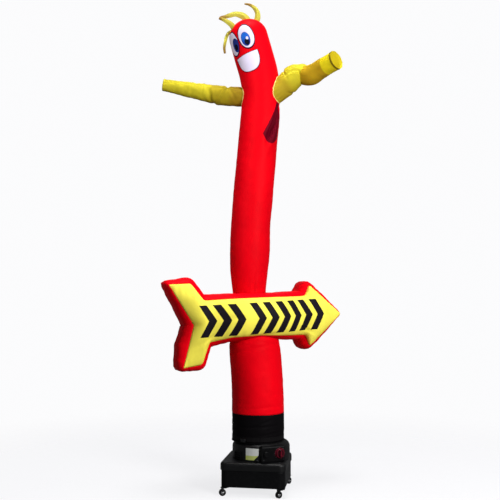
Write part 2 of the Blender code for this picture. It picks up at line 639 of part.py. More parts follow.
def curved_plate(name, outline, angle, height, thickness, colour, roughness):
    """A thin plate that follows the drum's side: outline points are (round the drum, up) from its middle."""
    radius = DRUM_RADIUS + TAG_LIFT
    points = np.array(outline, float)
    rings = []
    for share in (1.0, 0.5):
        turn = angle + points[:, 0] * share / radius
        ring = np.column_stack([radius * np.cos(turn), radius * np.sin(turn), height + points[:, 1] * share])
        rings.append(ring)
    middle = (radius * cos(angle), radius * sin(angle), height)
    plate = add(name, loft(rings, end=middle), blower, colour, roughness)
    plate.location.x = DRUM_SHIFT_X
    return thicken(plate, thickness, offset=1.0)


def cut_rectangle(width, height, cut_corner, steps=6):
    """Points round a rectangle, anticlockwise from its lower left, with its lower right corner cut off."""
    right, top = width / 2, height / 2
    low, side = (right - cut_corner, -top), (right, cut_corner - top)
    corners = [(-right, -top), low, side, (right, top), (-right, top)]
    points = []
    for here, there in zip(corners, corners[1:] + corners[:1]):
        count = max(2, round(steps * hypot(there[0] - here[0], there[1] - here[1]) / width))
        points += [np.array(here) + (np.array(there) - np.array(here)) * k / count for k in range(count)]
    return points


def build_trim(keep):
    """The blank tag, the vent with its louvres and the lugs that hold the drum down."""
    tag = cut_rectangle(TAG_WIDTH, TAG_HEIGHT, TAG_CUT)
    curved_plate("blank_tag", tag, TAG_ANGLE, TAG_Z, TAG_THICK, WHITE, 0.35)
    vent = box("side_vent", (VENT_DEEP, VENT_WIDTH, VENT_HEIGHT), blower, BLACK_PLASTIC, 0.4)
    vent.matrix_local = facing(VENT_ANGLE, DRUM_RADIUS - VENT_SET_BACK, VENT_Z, DRUM_SHIFT_X)
    bevel(vent, 0.003, 1)
    front = DRUM_RADIUS - VENT_SET_BACK + VENT_DEEP / 2
    for k in VENT_SLOTS:
        slot = box("vent_slot", (SLOT_DEEP, VENT_WIDTH * SLOT_WIDE, VENT_HEIGHT * SLOT_HIGH), blower)
        height = VENT_Z + k * VENT_HEIGHT * VENT_PITCH
        slot.matrix_local = facing(VENT_ANGLE, front - SLOT_DEEP / 6, height, DRUM_SHIFT_X)
        cut(vent, slot)
    cut(vent, keep)
    for name, degrees in LUG_ANGLES.items():
        lug = box(f"drum_lug_{name}", LUG, blower, BLACK_PLASTIC, 0.4)
        middle = BASE_TOP + GAP + LUG[2] / 2
        lug.matrix_local = facing(radians(degrees), DRUM_RADIUS - LUG_SET_BACK, middle, DRUM_SHIFT_X)
        bevel(lug, 0.005, 2)
        cut(lug, keep)


def build_strap():
    """The webbing belt that holds the collar on the neck, and its buckle."""
    inner = COLLAR[0].radius + GAP * 1.5
    low, high = STRAP_Z - STRAP_WIDTH / 2, STRAP_Z + STRAP_WIDTH / 2
    turn = np.arange(SIDES) * 2 * pi / SIDES
    rings = []
    for radius, height in ((inner, low), (inner + STRAP_THICK, low), (inner + STRAP_THICK, high), (inner, high)):
        rings.append(np.column_stack([radius * np.cos(turn), radius * np.sin(turn), np.full(SIDES, height)]))
    made = loft(rings + rings[:1])
    bmesh.ops.remove_doubles(made, verts=made.verts, dist=0.00002)
    add("collar_strap", made, dancer, BLACK_CLOTH, 0.6)
    buckle = box("strap_buckle", BUCKLE, dancer, STEEL, 0.3, 1.0)
    buckle.matrix_local = facing(BUCKLE_ANGLE, inner + STRAP_THICK + BUCKLE[0] / 3, BUCKLE_Z)
    bevel(buckle, 0.002, 1)
    round_of_strap = rod("strap_round", inner + STRAP_THICK + GAP, 0.2, dancer, sides=SIDES)
    round_of_strap.matrix_local = Matrix.Translation((0, 0, STRAP_Z)) @ Matrix.Rotation(-pi / SIDES, 4, "Z")
    cut(buckle, round_of_strap)


def build_caster(name, caster):
    """A swivel caster: its plate under the base, its fork with the axle, and its wheel."""
    centre_x = BASE_SHIFT_X + caster.side_x * (BASE_SIZE / 2 - CASTER_INSET)
    centre_y = caster.side_y * (BASE_SIZE / 2 - CASTER_INSET)
    size, thick = CASTER_PLATE
    plate = box(f"caster_plate_{name}", (size, size, thick), blower, STEEL, 0.35, 1.0)
    plate.location = (centre_x, centre_y, BASE_BOTTOM - GAP - thick / 2)
    axle_z = WHEEL_RADIUS * cos(pi / WHEEL_SIDES)
    trailing = Matrix.Rotation(radians(caster.trail_degrees - 90), 4, "Z")
    swivel = stand(f"caster_swivel_{name}", Matrix.Translation((centre_x, centre_y, 0)) @ trailing, blower)
    race_top = BASE_BOTTOM - 2 * GAP - thick
    crown_z = race_top - RACE_THICK - CROWN_THICK / 2
    inside = WHEEL_WIDTH / 2 + FORK_CLEAR
    fork_size = (2 * (inside + FORK_CHEEK), CASTER_TRAIL + FORK_WIDTH, CROWN_THICK)
    fork = box(f"caster_fork_{name}", fork_size, swivel, STEEL, 0.35, 1.0)
    fork.location = (0, CASTER_TRAIL / 2, crown_z)
    race = rod(f"race_{name}", RACE_RADIUS, RACE_THICK + CROWN_THICK / 2, swivel, sides=12)
    race.location = (0, 0, race_top - (RACE_THICK + CROWN_THICK / 2) / 2)
    cut(fork, race, "UNION")
    drop = crown_z - axle_z + CHEEK_BELOW
    for side in (-1, 1):
        cheek = box(f"cheek_{name}", (FORK_CHEEK, CHEEK_WIDTH, drop), swivel)
        cheek.location = (side * (inside + FORK_CHEEK / 2), CASTER_TRAIL, crown_z - drop / 2)
        cut(fork, cheek, "UNION")
    pin = rod(f"axle_{name}", AXLE_RADIUS, 2 * (inside + FORK_CHEEK + AXLE_OUT), swivel, sides=12)
    cut(fork, pin, "UNION")
    wheel = rod(f"caster_wheel_{name}", WHEEL_RADIUS, WHEEL_WIDTH, swivel, WHEEL_GREY, 0.4, sides=WHEEL_SIDES)
    bore = rod(f"bore_{name}", WHEEL_BORE, WHEEL_WIDTH + 0.01, swivel, sides=12)
    for turning in (pin, wheel, bore):
        turning.matrix_local = Matrix.Translation((0, CASTER_TRAIL, axle_z)) @ Matrix.Rotation(pi / 2, 4, "Y")
    cut(wheel, bore)


sleeve_outside = build_sleeves()
build_hair(sleeve_outside)
build_face()
build_arrow(sleeve_outside)
build_base()
drum_clearance = build_drum()
build_controls(drum_clearance)
build_trim(drum_clearance)
build_strap()
for corner, caster in CASTERS.items():
    build_caster(corner, caster)
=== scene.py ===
"""Air dancer: dresses the fixed frame of an inflatable air dancer in sewn cloth, plastic and metal.

Lengths are metres, +Z is up and the floor is z = 0. The blower is squared to the axes with its front
towards -Y. The cloth figure is worked out in a frame of its own (foot at the origin, front towards -Y) and
is then turned and moved on to the blower's outlet by `on_outlet`.
"""

import json
from collections import namedtuple
from math import cos, pi, radians, sin

import bmesh
import bpy
import numpy as np
from bpy.props import FloatProperty, FloatVectorProperty, PointerProperty
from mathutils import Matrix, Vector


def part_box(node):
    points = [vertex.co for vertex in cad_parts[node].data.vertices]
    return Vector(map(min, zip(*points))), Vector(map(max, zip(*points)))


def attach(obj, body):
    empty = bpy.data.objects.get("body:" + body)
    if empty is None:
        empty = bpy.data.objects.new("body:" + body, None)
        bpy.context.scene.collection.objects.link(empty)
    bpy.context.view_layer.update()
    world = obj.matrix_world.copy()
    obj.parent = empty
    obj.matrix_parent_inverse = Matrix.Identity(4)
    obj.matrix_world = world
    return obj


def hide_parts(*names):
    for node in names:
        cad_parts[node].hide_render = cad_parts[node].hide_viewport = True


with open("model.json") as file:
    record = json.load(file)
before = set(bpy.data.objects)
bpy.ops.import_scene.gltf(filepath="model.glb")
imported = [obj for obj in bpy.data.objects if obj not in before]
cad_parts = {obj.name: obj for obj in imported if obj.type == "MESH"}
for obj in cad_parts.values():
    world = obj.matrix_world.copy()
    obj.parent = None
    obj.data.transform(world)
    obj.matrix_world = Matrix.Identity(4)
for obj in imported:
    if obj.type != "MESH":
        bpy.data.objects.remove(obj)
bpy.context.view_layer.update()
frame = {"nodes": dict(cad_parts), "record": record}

bl_info = {
    "name": "Air Dancer",
    "version": (1, 0, 0),
    "blender": (4, 5, 0),
    "location": "View3D > Sidebar > Air Dancer",
    "description": "Builds the cloth, trim and finishes of an inflatable air dancer round its frame",
    "category": "Object",
}

STAND = "blower"                          # the body that stands still

# ------------------------------------------------------------------ sizes
OUTLET = np.array((0.055, 0.003, 0.0))    # the outlet's axis
FIGURE_TURN = radians(9)
CLOTH_STEP = 0.010                        # between the rings of a sleeve
SIDES = 112

Section = namedtuple("Section", "x y z radius")


def listed(kind, *rows):
    """Named rows, all of one kind."""
    return tuple(kind(*row) for row in rows)


COLLAR_TOP = 0.676
COLLAR = listed(Section,
    (0.000, 0.0, 0.4436, 0.2262), (0.000, 0.0, 0.4920, 0.2262), (0.000, 0.0, 0.5300, 0.2292),
    (0.000, 0.0, 0.6000, 0.2292), (0.000, 0.0, COLLAR_TOP, 0.2285))
LOWER_SLEEVE = listed(Section,
    (0.000, 0.0, COLLAR_TOP, 0.2285), (-0.005, 0.0, 0.910, 0.2285), (-0.016, 0.0, 1.085, 0.2270),
    (-0.030, 0.0, 1.240, 0.2245), (-0.038, 0.0, 1.330, 0.2130), (-0.055, 0.0, 1.430, 0.1700),
    (-0.066, 0.0, 1.540, 0.1450))
UPPER_SLEEVE = listed(Section,
    (-0.066, 0.0, 1.540, 0.1450), (-0.079, 0.0, 1.740, 0.1480), (-0.080, 0.0, 1.838, 0.1590),
    (-0.076, 0.0, 2.017, 0.1755), (-0.060, 0.0, 2.377, 0.1765), (-0.031, 0.0, 2.739, 0.1785),
    (0.002, 0.0, 3.103, 0.1775), (0.025, 0.0, 3.379, 0.1735), (0.028, 0.0, 3.540, 0.1715),
    (0.009, 0.0, 3.702, 0.1755), (-0.037, 0.0, 3.876, 0.1775), (-0.085, 0.0, 4.050, 0.1760))
HEAD_DOME = 0.160
LEFT_ARM = listed(Section,
    (-0.060, 0.02, 3.506, 0.0850), (-0.242, 0.02, 3.508, 0.0865), (-0.400, 0.03, 3.530, 0.0835),
    (-0.453, 0.03, 3.541, 0.0785), (-0.500, 0.04, 3.552, 0.0790), (-0.575, 0.04, 3.567, 0.0705),
    (-0.620, 0.05, 3.577, 0.0700), (-0.770, 0.06, 3.609, 0.0580), (-0.866, 0.06, 3.626, 0.0535))
RIGHT_ARM = listed(Section,
    (0.070, -0.038, 3.460, 0.0970), (0.208, -0.040, 3.562, 0.0990), (0.275, -0.044, 3.620, 0.1030),
    (0.332, -0.044, 3.680, 0.1020), (0.380, -0.045, 3.702, 0.0880), (0.425, -0.060, 3.680, 0.0870),
    (0.470, -0.105, 3.668, 0.0900), (0.560, -0.190, 3.700, 0.0840), (0.678, -0.305, 3.742, 0.0825))
Lock = namedtuple("Lock", "x y z width")
HAIR = {
    "crown": listed(Lock, (-0.022, -0.02, 4.165, 0.060), (-0.004, -0.02, 4.234, 0.055),
        (-0.007, -0.01, 4.284, 0.046), (-0.035, 0.00, 4.331, 0.035), (-0.075, 0.00, 4.357, 0.026),
        (-0.121, 0.00, 4.366, 0.018)),
    "arch": listed(Lock, (-0.082, -0.03, 4.172, 0.062), (-0.113, -0.03, 4.222, 0.062),
        (-0.152, -0.03, 4.250, 0.062), (-0.204, -0.03, 4.262, 0.060), (-0.256, -0.04, 4.244, 0.050),
        (-0.302, -0.06, 4.220, 0.036), (-0.338, -0.08, 4.206, 0.020)),
    "front": listed(Lock, (-0.212, -0.070, 4.106, 0.054), (-0.238, -0.085, 4.140, 0.054),
        (-0.270, -0.095, 4.162, 0.050), (-0.305, -0.095, 4.182, 0.042), (-0.350, -0.095, 4.196, 0.024)),
    "hanging": listed(Lock, (-0.222, -0.015, 4.110, 0.030), (-0.262, -0.022, 4.088, 0.030),
        (-0.284, -0.045, 4.040, 0.029), (-0.293, -0.075, 3.984, 0.027), (-0.302, -0.080, 3.927, 0.024),
        (-0.297, -0.080, 3.874, 0.018)),
}
Patch = namedtuple("Patch", "along angle half_along half_around flat_top")
FACE = {
    "eye_right": Patch(0.320, radians(-101.2), 0.121, 0.0765, False),
    "eye_left": Patch(0.304, radians(-150.0), 0.121, 0.0700, False),
    "mouth": Patch(0.172, radians(-114.0), 0.178, 0.1180, True),
}
FACE_LEAN = radians(4.5)
Print = namedtuple("Print", "along around half_along half_around")
IRISES = {
    "eye_right": (Print(-0.024, -0.0115, 0.062, 0.038), Print(-0.052, -0.0080, 0.030, 0.0215)),
    "eye_left": (Print(-0.026, 0.0285, 0.062, 0.036), Print(-0.046, 0.0262, 0.030, 0.0205)),
}
SMILE_CENTRE = 0.42

ARROW_YAW, ARROW_RISE = radians(20), radians(3.2)
ARROW_X, ARROW_Z = -0.062, 1.500
ARROW_HALF_DEPTH = 0.140
ARROW_WAIST, ARROW_WAIST_LENGTH = 0.098, 0.36
PANEL_CROWN = 0.085
TAIL_ROUND, NOSE_ROUND, FULL_CROWN_HEIGHT = 0.22, 0.30, 0.33
Stop = namedtuple("Stop", "top_along top_up low_along low_up bulge")
ARROW_EDGES = listed(Stop,
    (-0.768, 0.331, -0.676, -0.376, 0.036), (-0.579, 0.333, -0.514, -0.362, 0.056),
    (-0.470, 0.180, -0.444, -0.178, 0.052), (-0.250, 0.184, -0.259, -0.146, 0.045),
    (0.000, 0.181, 0.000, -0.144, 0.040), (0.200, 0.176, 0.180, -0.160, 0.038),
    (0.466, 0.170, 0.452, -0.176, 0.050), (0.518, 0.268, 0.487, -0.280, 0.044),
    (0.668, 0.128, 0.652, -0.147, 0.040), (0.796, 0.010, 0.792, -0.030, 0.024))
ARROW_NOTCH, ARROW_TIP = -0.569, 0.812
NOTCH_BULGE = (                           # between the tail's tips, the lower at -1 and the upper at 1
    (-1.0, 0.044), (-0.55, 0.078), (0.0, 0.062), (0.22, 0.050), (0.50, 0.040), (0.75, 0.036), (1.0, 0.030),
)
TAIL_PINCH, PINCH_FROM, PINCH_LENGTH = 0.075, -0.580, 0.190
ARROW_STEP, ARROW_ROWS, BAND_RINGS = 0.012, 56, 33


# ------------------------------------------------------------------ settings shown in the panel
class ClothSettings(bpy.types.PropertyGroup):
    thickness: FloatProperty(name="Cloth thickness", description="Thickness of the nylon with its coating",
                             default=0.0012, min=0.0002, max=0.003, unit="LENGTH")
    red: FloatVectorProperty(name="Red cloth", description="Colour of the sleeve", subtype="COLOR",
                             default=(0.80, 0.0004, 0.0065))
    yellow: FloatVectorProperty(name="Yellow cloth", description="Colour of the arms and hair",
                                subtype="COLOR", default=(0.44, 0.372, 0.018))
    arrow_yellow: FloatVectorProperty(name="Arrow yellow", description="Colour of the arrow's panels",
                                      subtype="COLOR", default=(0.90, 0.790, 0.090))
    black: FloatVectorProperty(name="Black cloth", description="Colour of the collar", subtype="COLOR",
                               default=(0.0035, 0.0030, 0.0035))
    white: FloatVectorProperty(name="White cloth", description="Colour of the eyes and mouth",
                               subtype="COLOR", default=(0.60, 0.545, 0.69))


class BlowerSettings(bpy.types.PropertyGroup):
    housing: FloatVectorProperty(name="Housing", description="Colour of the moulded drum and base",
                                 subtype="COLOR", default=(0.0032, 0.0032, 0.0036))
    trim: FloatVectorProperty(name="Trim", description="Colour of the black trim", subtype="COLOR",
                              default=(0.0022, 0.0022, 0.0025))
    knob: FloatVectorProperty(name="Knob", description="Colour of the rotary switch", subtype="COLOR",
                              default=(0.085, 0.0030, 0.0105))
    tag: FloatVectorProperty(name="Tag", description="Colour of the blank tag", subtype="COLOR",
                             default=(0.46, 0.47, 0.45))
    tread: FloatVectorProperty(name="Wheels", description="Colour of the caster wheels", subtype="COLOR",
                               default=(0.005, 0.005, 0.0055))


class StageSettings(bpy.types.PropertyGroup):
    key: FloatProperty(name="Key light", description="Power of the large soft light", default=520.0, min=0.0,
                       unit="POWER")
    fill: FloatProperty(name="Fill light", description="Power of the light on the other side", default=13.0,
                        min=0.0, unit="POWER")
    top: FloatProperty(name="Top light", description="Power of the light overhead", default=330.0, min=0.0,
                       unit="POWER")
    ambient: FloatProperty(name="Ambient", description="Strength of the even light from all round",
                           default=0.17, min=0.0)
    lens: FloatProperty(name="Lens", description="Focal length on a 36 mm sensor", default=54.0, min=10.0)


# ------------------------------------------------------------------ shader maths
class Value:
    """A number's socket in a material, for use in expressions with + - * / and other sockets or numbers."""

    def __init__(self, finish, socket):
        self.finish, self.socket = finish, socket

    def math(self, operation, *others):
        return self.finish.node("ShaderNodeMath", {"operation": operation}, dict(enumerate((self, *others))))

    def __add__(self, other):
        return self.math("ADD", other)

    def __sub__(self, other):
        return self.math("SUBTRACT", other)

    def __rsub__(self, other):
        return self.finish.node("ShaderNodeMath", {"operation": "SUBTRACT"}, {0: other, 1: self})

    def __mul__(self, other):
        return self.math("MULTIPLY", other)

    def __truediv__(self, other):
        return self.math("DIVIDE", other)

    __radd__, __rmul__ = __add__, __mul__

    def step(self, low, high):
        """0 below low, 1 above high and smooth between them; the other way round where low is over high."""
        if low > high:
            return 1 - self.step(high, low)
        settings = {"interpolation_type": "SMOOTHSTEP", "clamp": True}
        inputs = {"Value": self, "From Min": low, "From Max": high}
        return self.finish.node("ShaderNodeMapRange", settings, inputs)


class Finish:
    """A material whose patterns are written as expressions."""

    def __init__(self, name, roughness, metallic=0.0, coat=0.0, specular=0.5):
        self.material = bpy.data.materials.new(name)
        self.material.use_nodes = True
        self.tree = self.material.node_tree
        self.shader = self.tree.nodes["Principled BSDF"]
        self.fix({"Roughness": roughness, "Metallic": metallic, "Coat Weight": coat,
                  "Specular IOR Level": specular})

    def fix(self, values):
        for socket, value in values.items():
            self.shader.inputs[socket].default_value = value

    def node(self, kind, settings=None, inputs=None, output=0):
        made = self.tree.nodes.new(kind)
        for key, value in (settings or {}).items():
            setattr(made, key, value)
        for key, value in (inputs or {}).items():
            if isinstance(value, Value):
                self.tree.links.new(value.socket, made.inputs[key])
            else:
                made.inputs[key].default_value = value
        return Value(self, made.outputs[output])

    def flat(self, layer="cloth"):
        """Round and along the flat cloth, or what else a layer holds, as two numbers."""
        return self.parts(self.node("ShaderNodeUVMap", {"uv_map": layer}))[:2]

    def place(self):
        return self.node("ShaderNodeTexCoord", output="Object")

    def parts(self, vector):
        split = self.node("ShaderNodeSeparateXYZ", inputs={0: vector})
        return [Value(self, split.socket.node.outputs[k]) for k in range(3)]

    def noise(self, vector, scale, detail=2.0, roughness=0.5):
        inputs = {"Vector": vector, "Scale": scale, "Detail": detail, "Roughness": roughness}
        return self.node("ShaderNodeTexNoise", inputs=inputs)

    def mix(self, first, second, mask):
        """Colours as rgb triples or sockets; the mask is 0 for the first and 1 for the second."""
        inputs = {0: mask}
        for index, colour in ((6, first), (7, second)):
            inputs[index] = colour if isinstance(colour, Value) else (*colour, 1.0)
        return self.node("ShaderNodeMix", {"data_type": "RGBA"}, inputs, output=2)

    def tint(self, colour, light):
        """The colour times a number's socket."""
        inputs = {0: colour if isinstance(colour, Value) else tuple(colour), "Scale": light}
        return self.node("ShaderNodeVectorMath", {"operation": "SCALE"}, inputs)

    def set(self, socket, value):
        self.tree.links.new(value.socket, self.shader.inputs[socket])

    def bump(self, height, strength):
        """Bumps of a height in metres."""
        made = self.node("ShaderNodeBump", inputs={"Height": height, "Distance": 1.0, "Strength": strength})
        self.set("Normal", made)


# noise in the finishes: how many to the metre, its detail and its roughness
NYLON_SOFT, NYLON_CLOUDY, NYLON_CRINKLE = (3.2, 3.0, 0.55), (38.0, 3.0, 0.6), (26.0, 4.0, 0.55)
PLASTIC_SOFT, PLASTIC_GRAIN, PLASTIC_DUST = (9.0, 4.0, 0.6), (260.0,), (34.0, 5.0, 0.65)
STEEL_CLOUDY, STEEL_GRAIN = (60.0, 3.0, 0.6), (420.0,)
THREAD, RIPSTOP = 0.0011, 0.0055          # from one thread to the next, and between the heavier threads
WEAVE_HEIGHT = 0.00018


def weave(finish):
    """Ripstop nylon: a plain weave with a heavier thread every RIPSTOP each way, as a height from 0 to
    1."""
    across, along = finish.flat()
    fine = (across * (2 * pi / THREAD)).math("SINE") * (along * (2 * pi / THREAD)).math("SINE")
    ribs = None
    for thread in (across, along):
        rib = (thread * (pi / RIPSTOP)).math("SINE").math("ABSOLUTE").step(0.16, 0.02)
        ribs = rib if ribs is None else ribs.math("MAXIMUM", rib)
    return fine * 0.12 + ribs * 0.5


def nylon(name, colour, crinkle, roughness=0.52, shade=0.85, printed=None):
    """Woven nylon: the weave, crinkles of a height in metres, and a colour that varies a little, down to
    `shade`; `printed` adds the print."""
    finish = Finish(name, roughness, specular=0.022)
    place = finish.place()
    soft = finish.noise(place, *NYLON_SOFT)
    cloudy = finish.noise(place, *NYLON_CLOUDY)
    light = soft.step(0.28, 0.72) * (1 - shade) + cloudy * 0.05 + (shade - 0.02)
    base = printed(finish, tuple(colour)) if printed else tuple(colour)
    finish.set("Base Color", finish.tint(base, light))
    finish.set("Roughness", cloudy * 0.16 + (roughness - 0.08))
    drawn = finish.node("ShaderNodeMapping", inputs={"Vector": place, "Scale": (1, 1, 0.55)})
    finish.bump(finish.noise(drawn, *NYLON_CRINKLE) * crinkle + weave(finish) * WEAVE_HEIGHT, 0.9)
    return finish.material


def moulded(name, colour, roughness, coat=0.0, specular=0.07, marked=None):
    """Moulded plastic: fine grain, uneven gloss and a little pale dust; `marked` adds a printed mark."""
    finish = Finish(name, roughness, coat=coat, specular=specular)
    place = finish.place()
    soft = finish.noise(place, *PLASTIC_SOFT)
    fine = finish.noise(place, *PLASTIC_GRAIN)
    dust = finish.noise(place, *PLASTIC_DUST).step(0.50, 0.78)
    base = marked(finish, tuple(colour)) if marked else tuple(colour)
    pale = tuple(c * 0.8 + 0.010 for c in colour)
    finish.set("Base Color", finish.mix(base, pale, dust * 0.25))
    finish.set("Roughness", soft * 0.18 + dust * 0.15 + (roughness - 0.10))
    finish.bump(fine * 0.00012 + soft * 0.0006, 0.8)
    return finish.material


def plated(name, first, second):
    """Plated steel: a cloudy colour between two, uneven gloss and a very fine grain."""
    finish = Finish(name, 0.32, metallic=1.0)
    place = finish.place()
    cloudy = finish.noise(place, *STEEL_CLOUDY)
    finish.set("Base Color", finish.mix(first, second, cloudy.step(0.35, 0.65)))
    finish.set("Roughness", cloudy * 0.3 + 0.22)
    finish.bump(finish.noise(place, *STEEL_GRAIN) * 0.00004, 0.6)
    return finish.material


# ------------------------------------------------------------------ surfaces
def on_outlet(points):
    """Points of the figure's own frame, turned by FIGURE_TURN about +Z and moved to the outlet's axis."""
    c, s = cos(FIGURE_TURN), sin(FIGURE_TURN)
    return points @ np.array(((c, s, 0), (-s, c, 0), (0, 0, 1))) + OUTLET


def smooth_rows(table, step):
    """The table's rows and more between them: a cubic Hermite curve whose slopes are the central
    differences, p(t) = (1+2t)(1-t)² a + t(1-t)² h a' + t²(3-2t) b + t²(t-1) h b'."""
    rows = np.array(table, float)
    gaps = np.linalg.norm(np.diff(rows[:, :3], axis=0), axis=1)
    along = np.concatenate([[0.0], np.cumsum(gaps)])
    slope = np.gradient(rows, along, axis=0)
    at = np.linspace(0, along[-1], max(3, round(along[-1] / step) + 1))
    k = np.clip(np.searchsorted(along, at, side="right") - 1, 0, len(gaps) - 1)
    gap = gaps[k][:, None]
    t = ((at - along[k]) / gaps[k])[:, None]
    start = (1 + 2 * t) * (1 - t) ** 2 * rows[k] + t * (1 - t) ** 2 * gap * slope[k]
    return start + t * t * (3 - 2 * t) * rows[k + 1] + t * t * (t - 1) * gap * slope[k + 1]


def across(centres, side, level=()):
    """The curve's direction at each centre, and two unit vectors square to it; the first leans to
    `side`."""
    ahead = np.gradient(centres, axis=0)
    for ring in level:
        ahead[ring] = (0.0, 0.0, 1.0)
    ahead = unit(ahead)
    side = np.array(side, float)
    first = unit(side - (ahead @ side)[:, None] * ahead)
    return ahead, first, np.cross(ahead, first)


def lengths(points):
    """Distance along a line of points, from its first."""
    return np.concatenate([[0.0], np.cumsum(np.linalg.norm(np.diff(points, axis=0), axis=1))])


def turns(count):
    """That many evenly spaced angles round a circle, from nought."""
    return np.arange(count) * 2 * pi / count


def unit(vectors):
    return vectors / np.linalg.norm(vectors, axis=-1, keepdims=True)


def creases(lines, along, around, girth):
    """Each crease is a line on the cloth that leans from the ring's direction. With t the distance from it
    over its width and p the distance along it over its reach, the cloth moves by depth (1 - 1.4 t²) exp(-t²
    - p⁴): a groove between two low ridges, or a ridge between two grooves where depth is positive."""
    moved = np.zeros(np.broadcast_shapes(along.shape, around.shape))
    for crease in lines:
        round_it = (around - crease.around + girth / 2) % girth - girth / 2
        up = along - crease.along
        lean = radians(crease.lean)
        t = (up * cos(lean) - round_it * sin(lean)) / crease.width
        p = (round_it * cos(lean) + up * sin(lean)) / crease.reach
        moved += crease.depth * (1 - 1.4 * t ** 2) * np.exp(-t ** 2 - p ** 4)
    return moved


def ruffle(turn, count, seed, spread=5):
    """An uneven wave round a closed line: the sum of cos(n turn + phase) over whole numbers n near count,
    with drawn weights and phases; its size is about 1."""
    draw = np.random.default_rng(seed)
    total = 0.0
    for n in range(max(1, count - spread), count + spread + 1):
        total = total + draw.uniform(0.4, 1.0) * np.cos(n * turn + draw.uniform(0, 2 * pi))
    return total / np.sqrt(spread + 1)


def swell(points, wavelength, seed, waves=18):
    """A smooth uneven field through space: the mean of cosines of plane waves with drawn directions and
    phases, whose lengths are 0.7 to 1.6 times wavelength; its size is about 1."""
    draw = np.random.default_rng(seed)
    total = np.zeros(points.shape[:-1])
    for _ in range(waves):
        direction = unit(draw.normal(size=3))
        size = wavelength * draw.uniform(0.7, 1.6)
        total += np.cos(points @ direction * (2 * pi / size) + draw.uniform(0, 2 * pi))
    return total * np.sqrt(2 / waves)


def numbered(rows, columns, wrap=True):
    """Numbers for a grid's points, with the first column again after the last where it wraps."""
    number = np.arange(rows * columns).reshape(rows, columns)
    return np.concatenate([number, number[:, :1]], axis=1) if wrap else number


def cells(grid):
    """The four corners of each cell of a grid, in order."""
    return np.stack([grid[:-1, :-1], grid[:-1, 1:], grid[1:, 1:], grid[1:, :-1]], axis=2)


def bare_mesh(name, points, faces):
    mesh = bpy.data.meshes.new(name)
    mesh.from_pydata(points, [], faces)
    return mesh


def grid_mesh(name, grid, flat, wrap=False, pole=None):
    """A mesh on a grid of points [row, column]: quads between neighbours, columns joined round where wrap,
    and a fan from the last row to the pole. `flat` gives each corner's place on the flat cloth, with one
    more column than the grid where it wraps."""
    rows, columns = grid.shape[:2]
    number = numbered(rows, columns, wrap)
    points = grid.reshape(-1, 3)
    faces, places = cells(number).reshape(-1, 4).tolist(), [cells(flat).reshape(-1, 2)]
    if pole is not None:
        points = np.concatenate([points, [pole]])
        peak = np.full(number.shape[1] - 1, rows * columns)
        tip = np.stack([number[-1, :-1], number[-1, 1:], peak], axis=-1)
        faces += tip.tolist()
        middle = (flat[-1, :-1] + flat[-1, 1:]) / 2 + (0.0, 0.004)
        places.append(np.stack([flat[-1, :-1], flat[-1, 1:], middle], axis=1).reshape(-1, 2))
    mesh = bare_mesh(name, points, faces)
    layer = mesh.uv_layers.new(name="cloth")
    layer.data.foreach_set("uv", np.concatenate(places).astype(np.float32).ravel())
    mesh.shade_smooth()
    return mesh


def heal(mesh, distance):
    """Merges points that coincide and makes the normals face outwards."""
    made = bmesh.new()
    made.from_mesh(mesh)
    bmesh.ops.remove_doubles(made, verts=made.verts, dist=distance)
    bmesh.ops.recalc_face_normals(made, faces=made.faces)
    made.to_mesh(mesh)
    made.free()


def placed(name, data):
    """A new object in the scene."""
    thing = bpy.data.objects.new(name, data)
    bpy.context.scene.collection.objects.link(thing)
    return thing


def settle(name, mesh, material, replaced=(), body=STAND):
    """Makes an object of a finished mesh and rides it on its body."""
    mesh.materials.append(material)
    thing = placed(name, mesh)
    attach(thing, body)
    if replaced:
        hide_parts(*replaced)
    return thing


def thicken(thing, thickness, offset=-1.0):
    shell = thing.modifiers.new("thickness", "SOLIDIFY")
    shell.thickness = thickness
    shell.offset = offset
    shell.use_even_offset = False
    return thing


def tube_points(rows, side, sides, moved=0.0, level=()):
    """Rings round a centre line: c(s) + (r(s) + moved(s, turn)) (cos turn a(s) + sin turn b(s))."""
    ahead, first, second = across(rows[:, :3], side, level)
    turn = turns(sides)
    ring = np.cos(turn)[:, None] * first[:, None] + np.sin(turn)[:, None] * second[:, None]
    radius = rows[:, 3][:, None] + moved
    return rows[:, None, :3] + radius[..., None] * ring, ahead


def tube_of(table, step, side, sides, level=()):
    """A table's rows and their distance along, the angles round a tube, its mean girth, and its plain
    rings."""
    rows = smooth_rows(table, step)
    plain, _ = tube_points(rows, side, sides, 0.0, level)
    return rows, lengths(rows[:, :3]), turns(sides), 2 * pi * float(rows[:, 3].mean()), plain


def flat_tube(along, sides, girth):
    """The flat cloth's coordinates of a wrapped tube: round it and along it."""
    return np.stack(np.broadcast_arrays(np.linspace(0, girth, sides + 1)[None], along[:, None]), axis=-1)


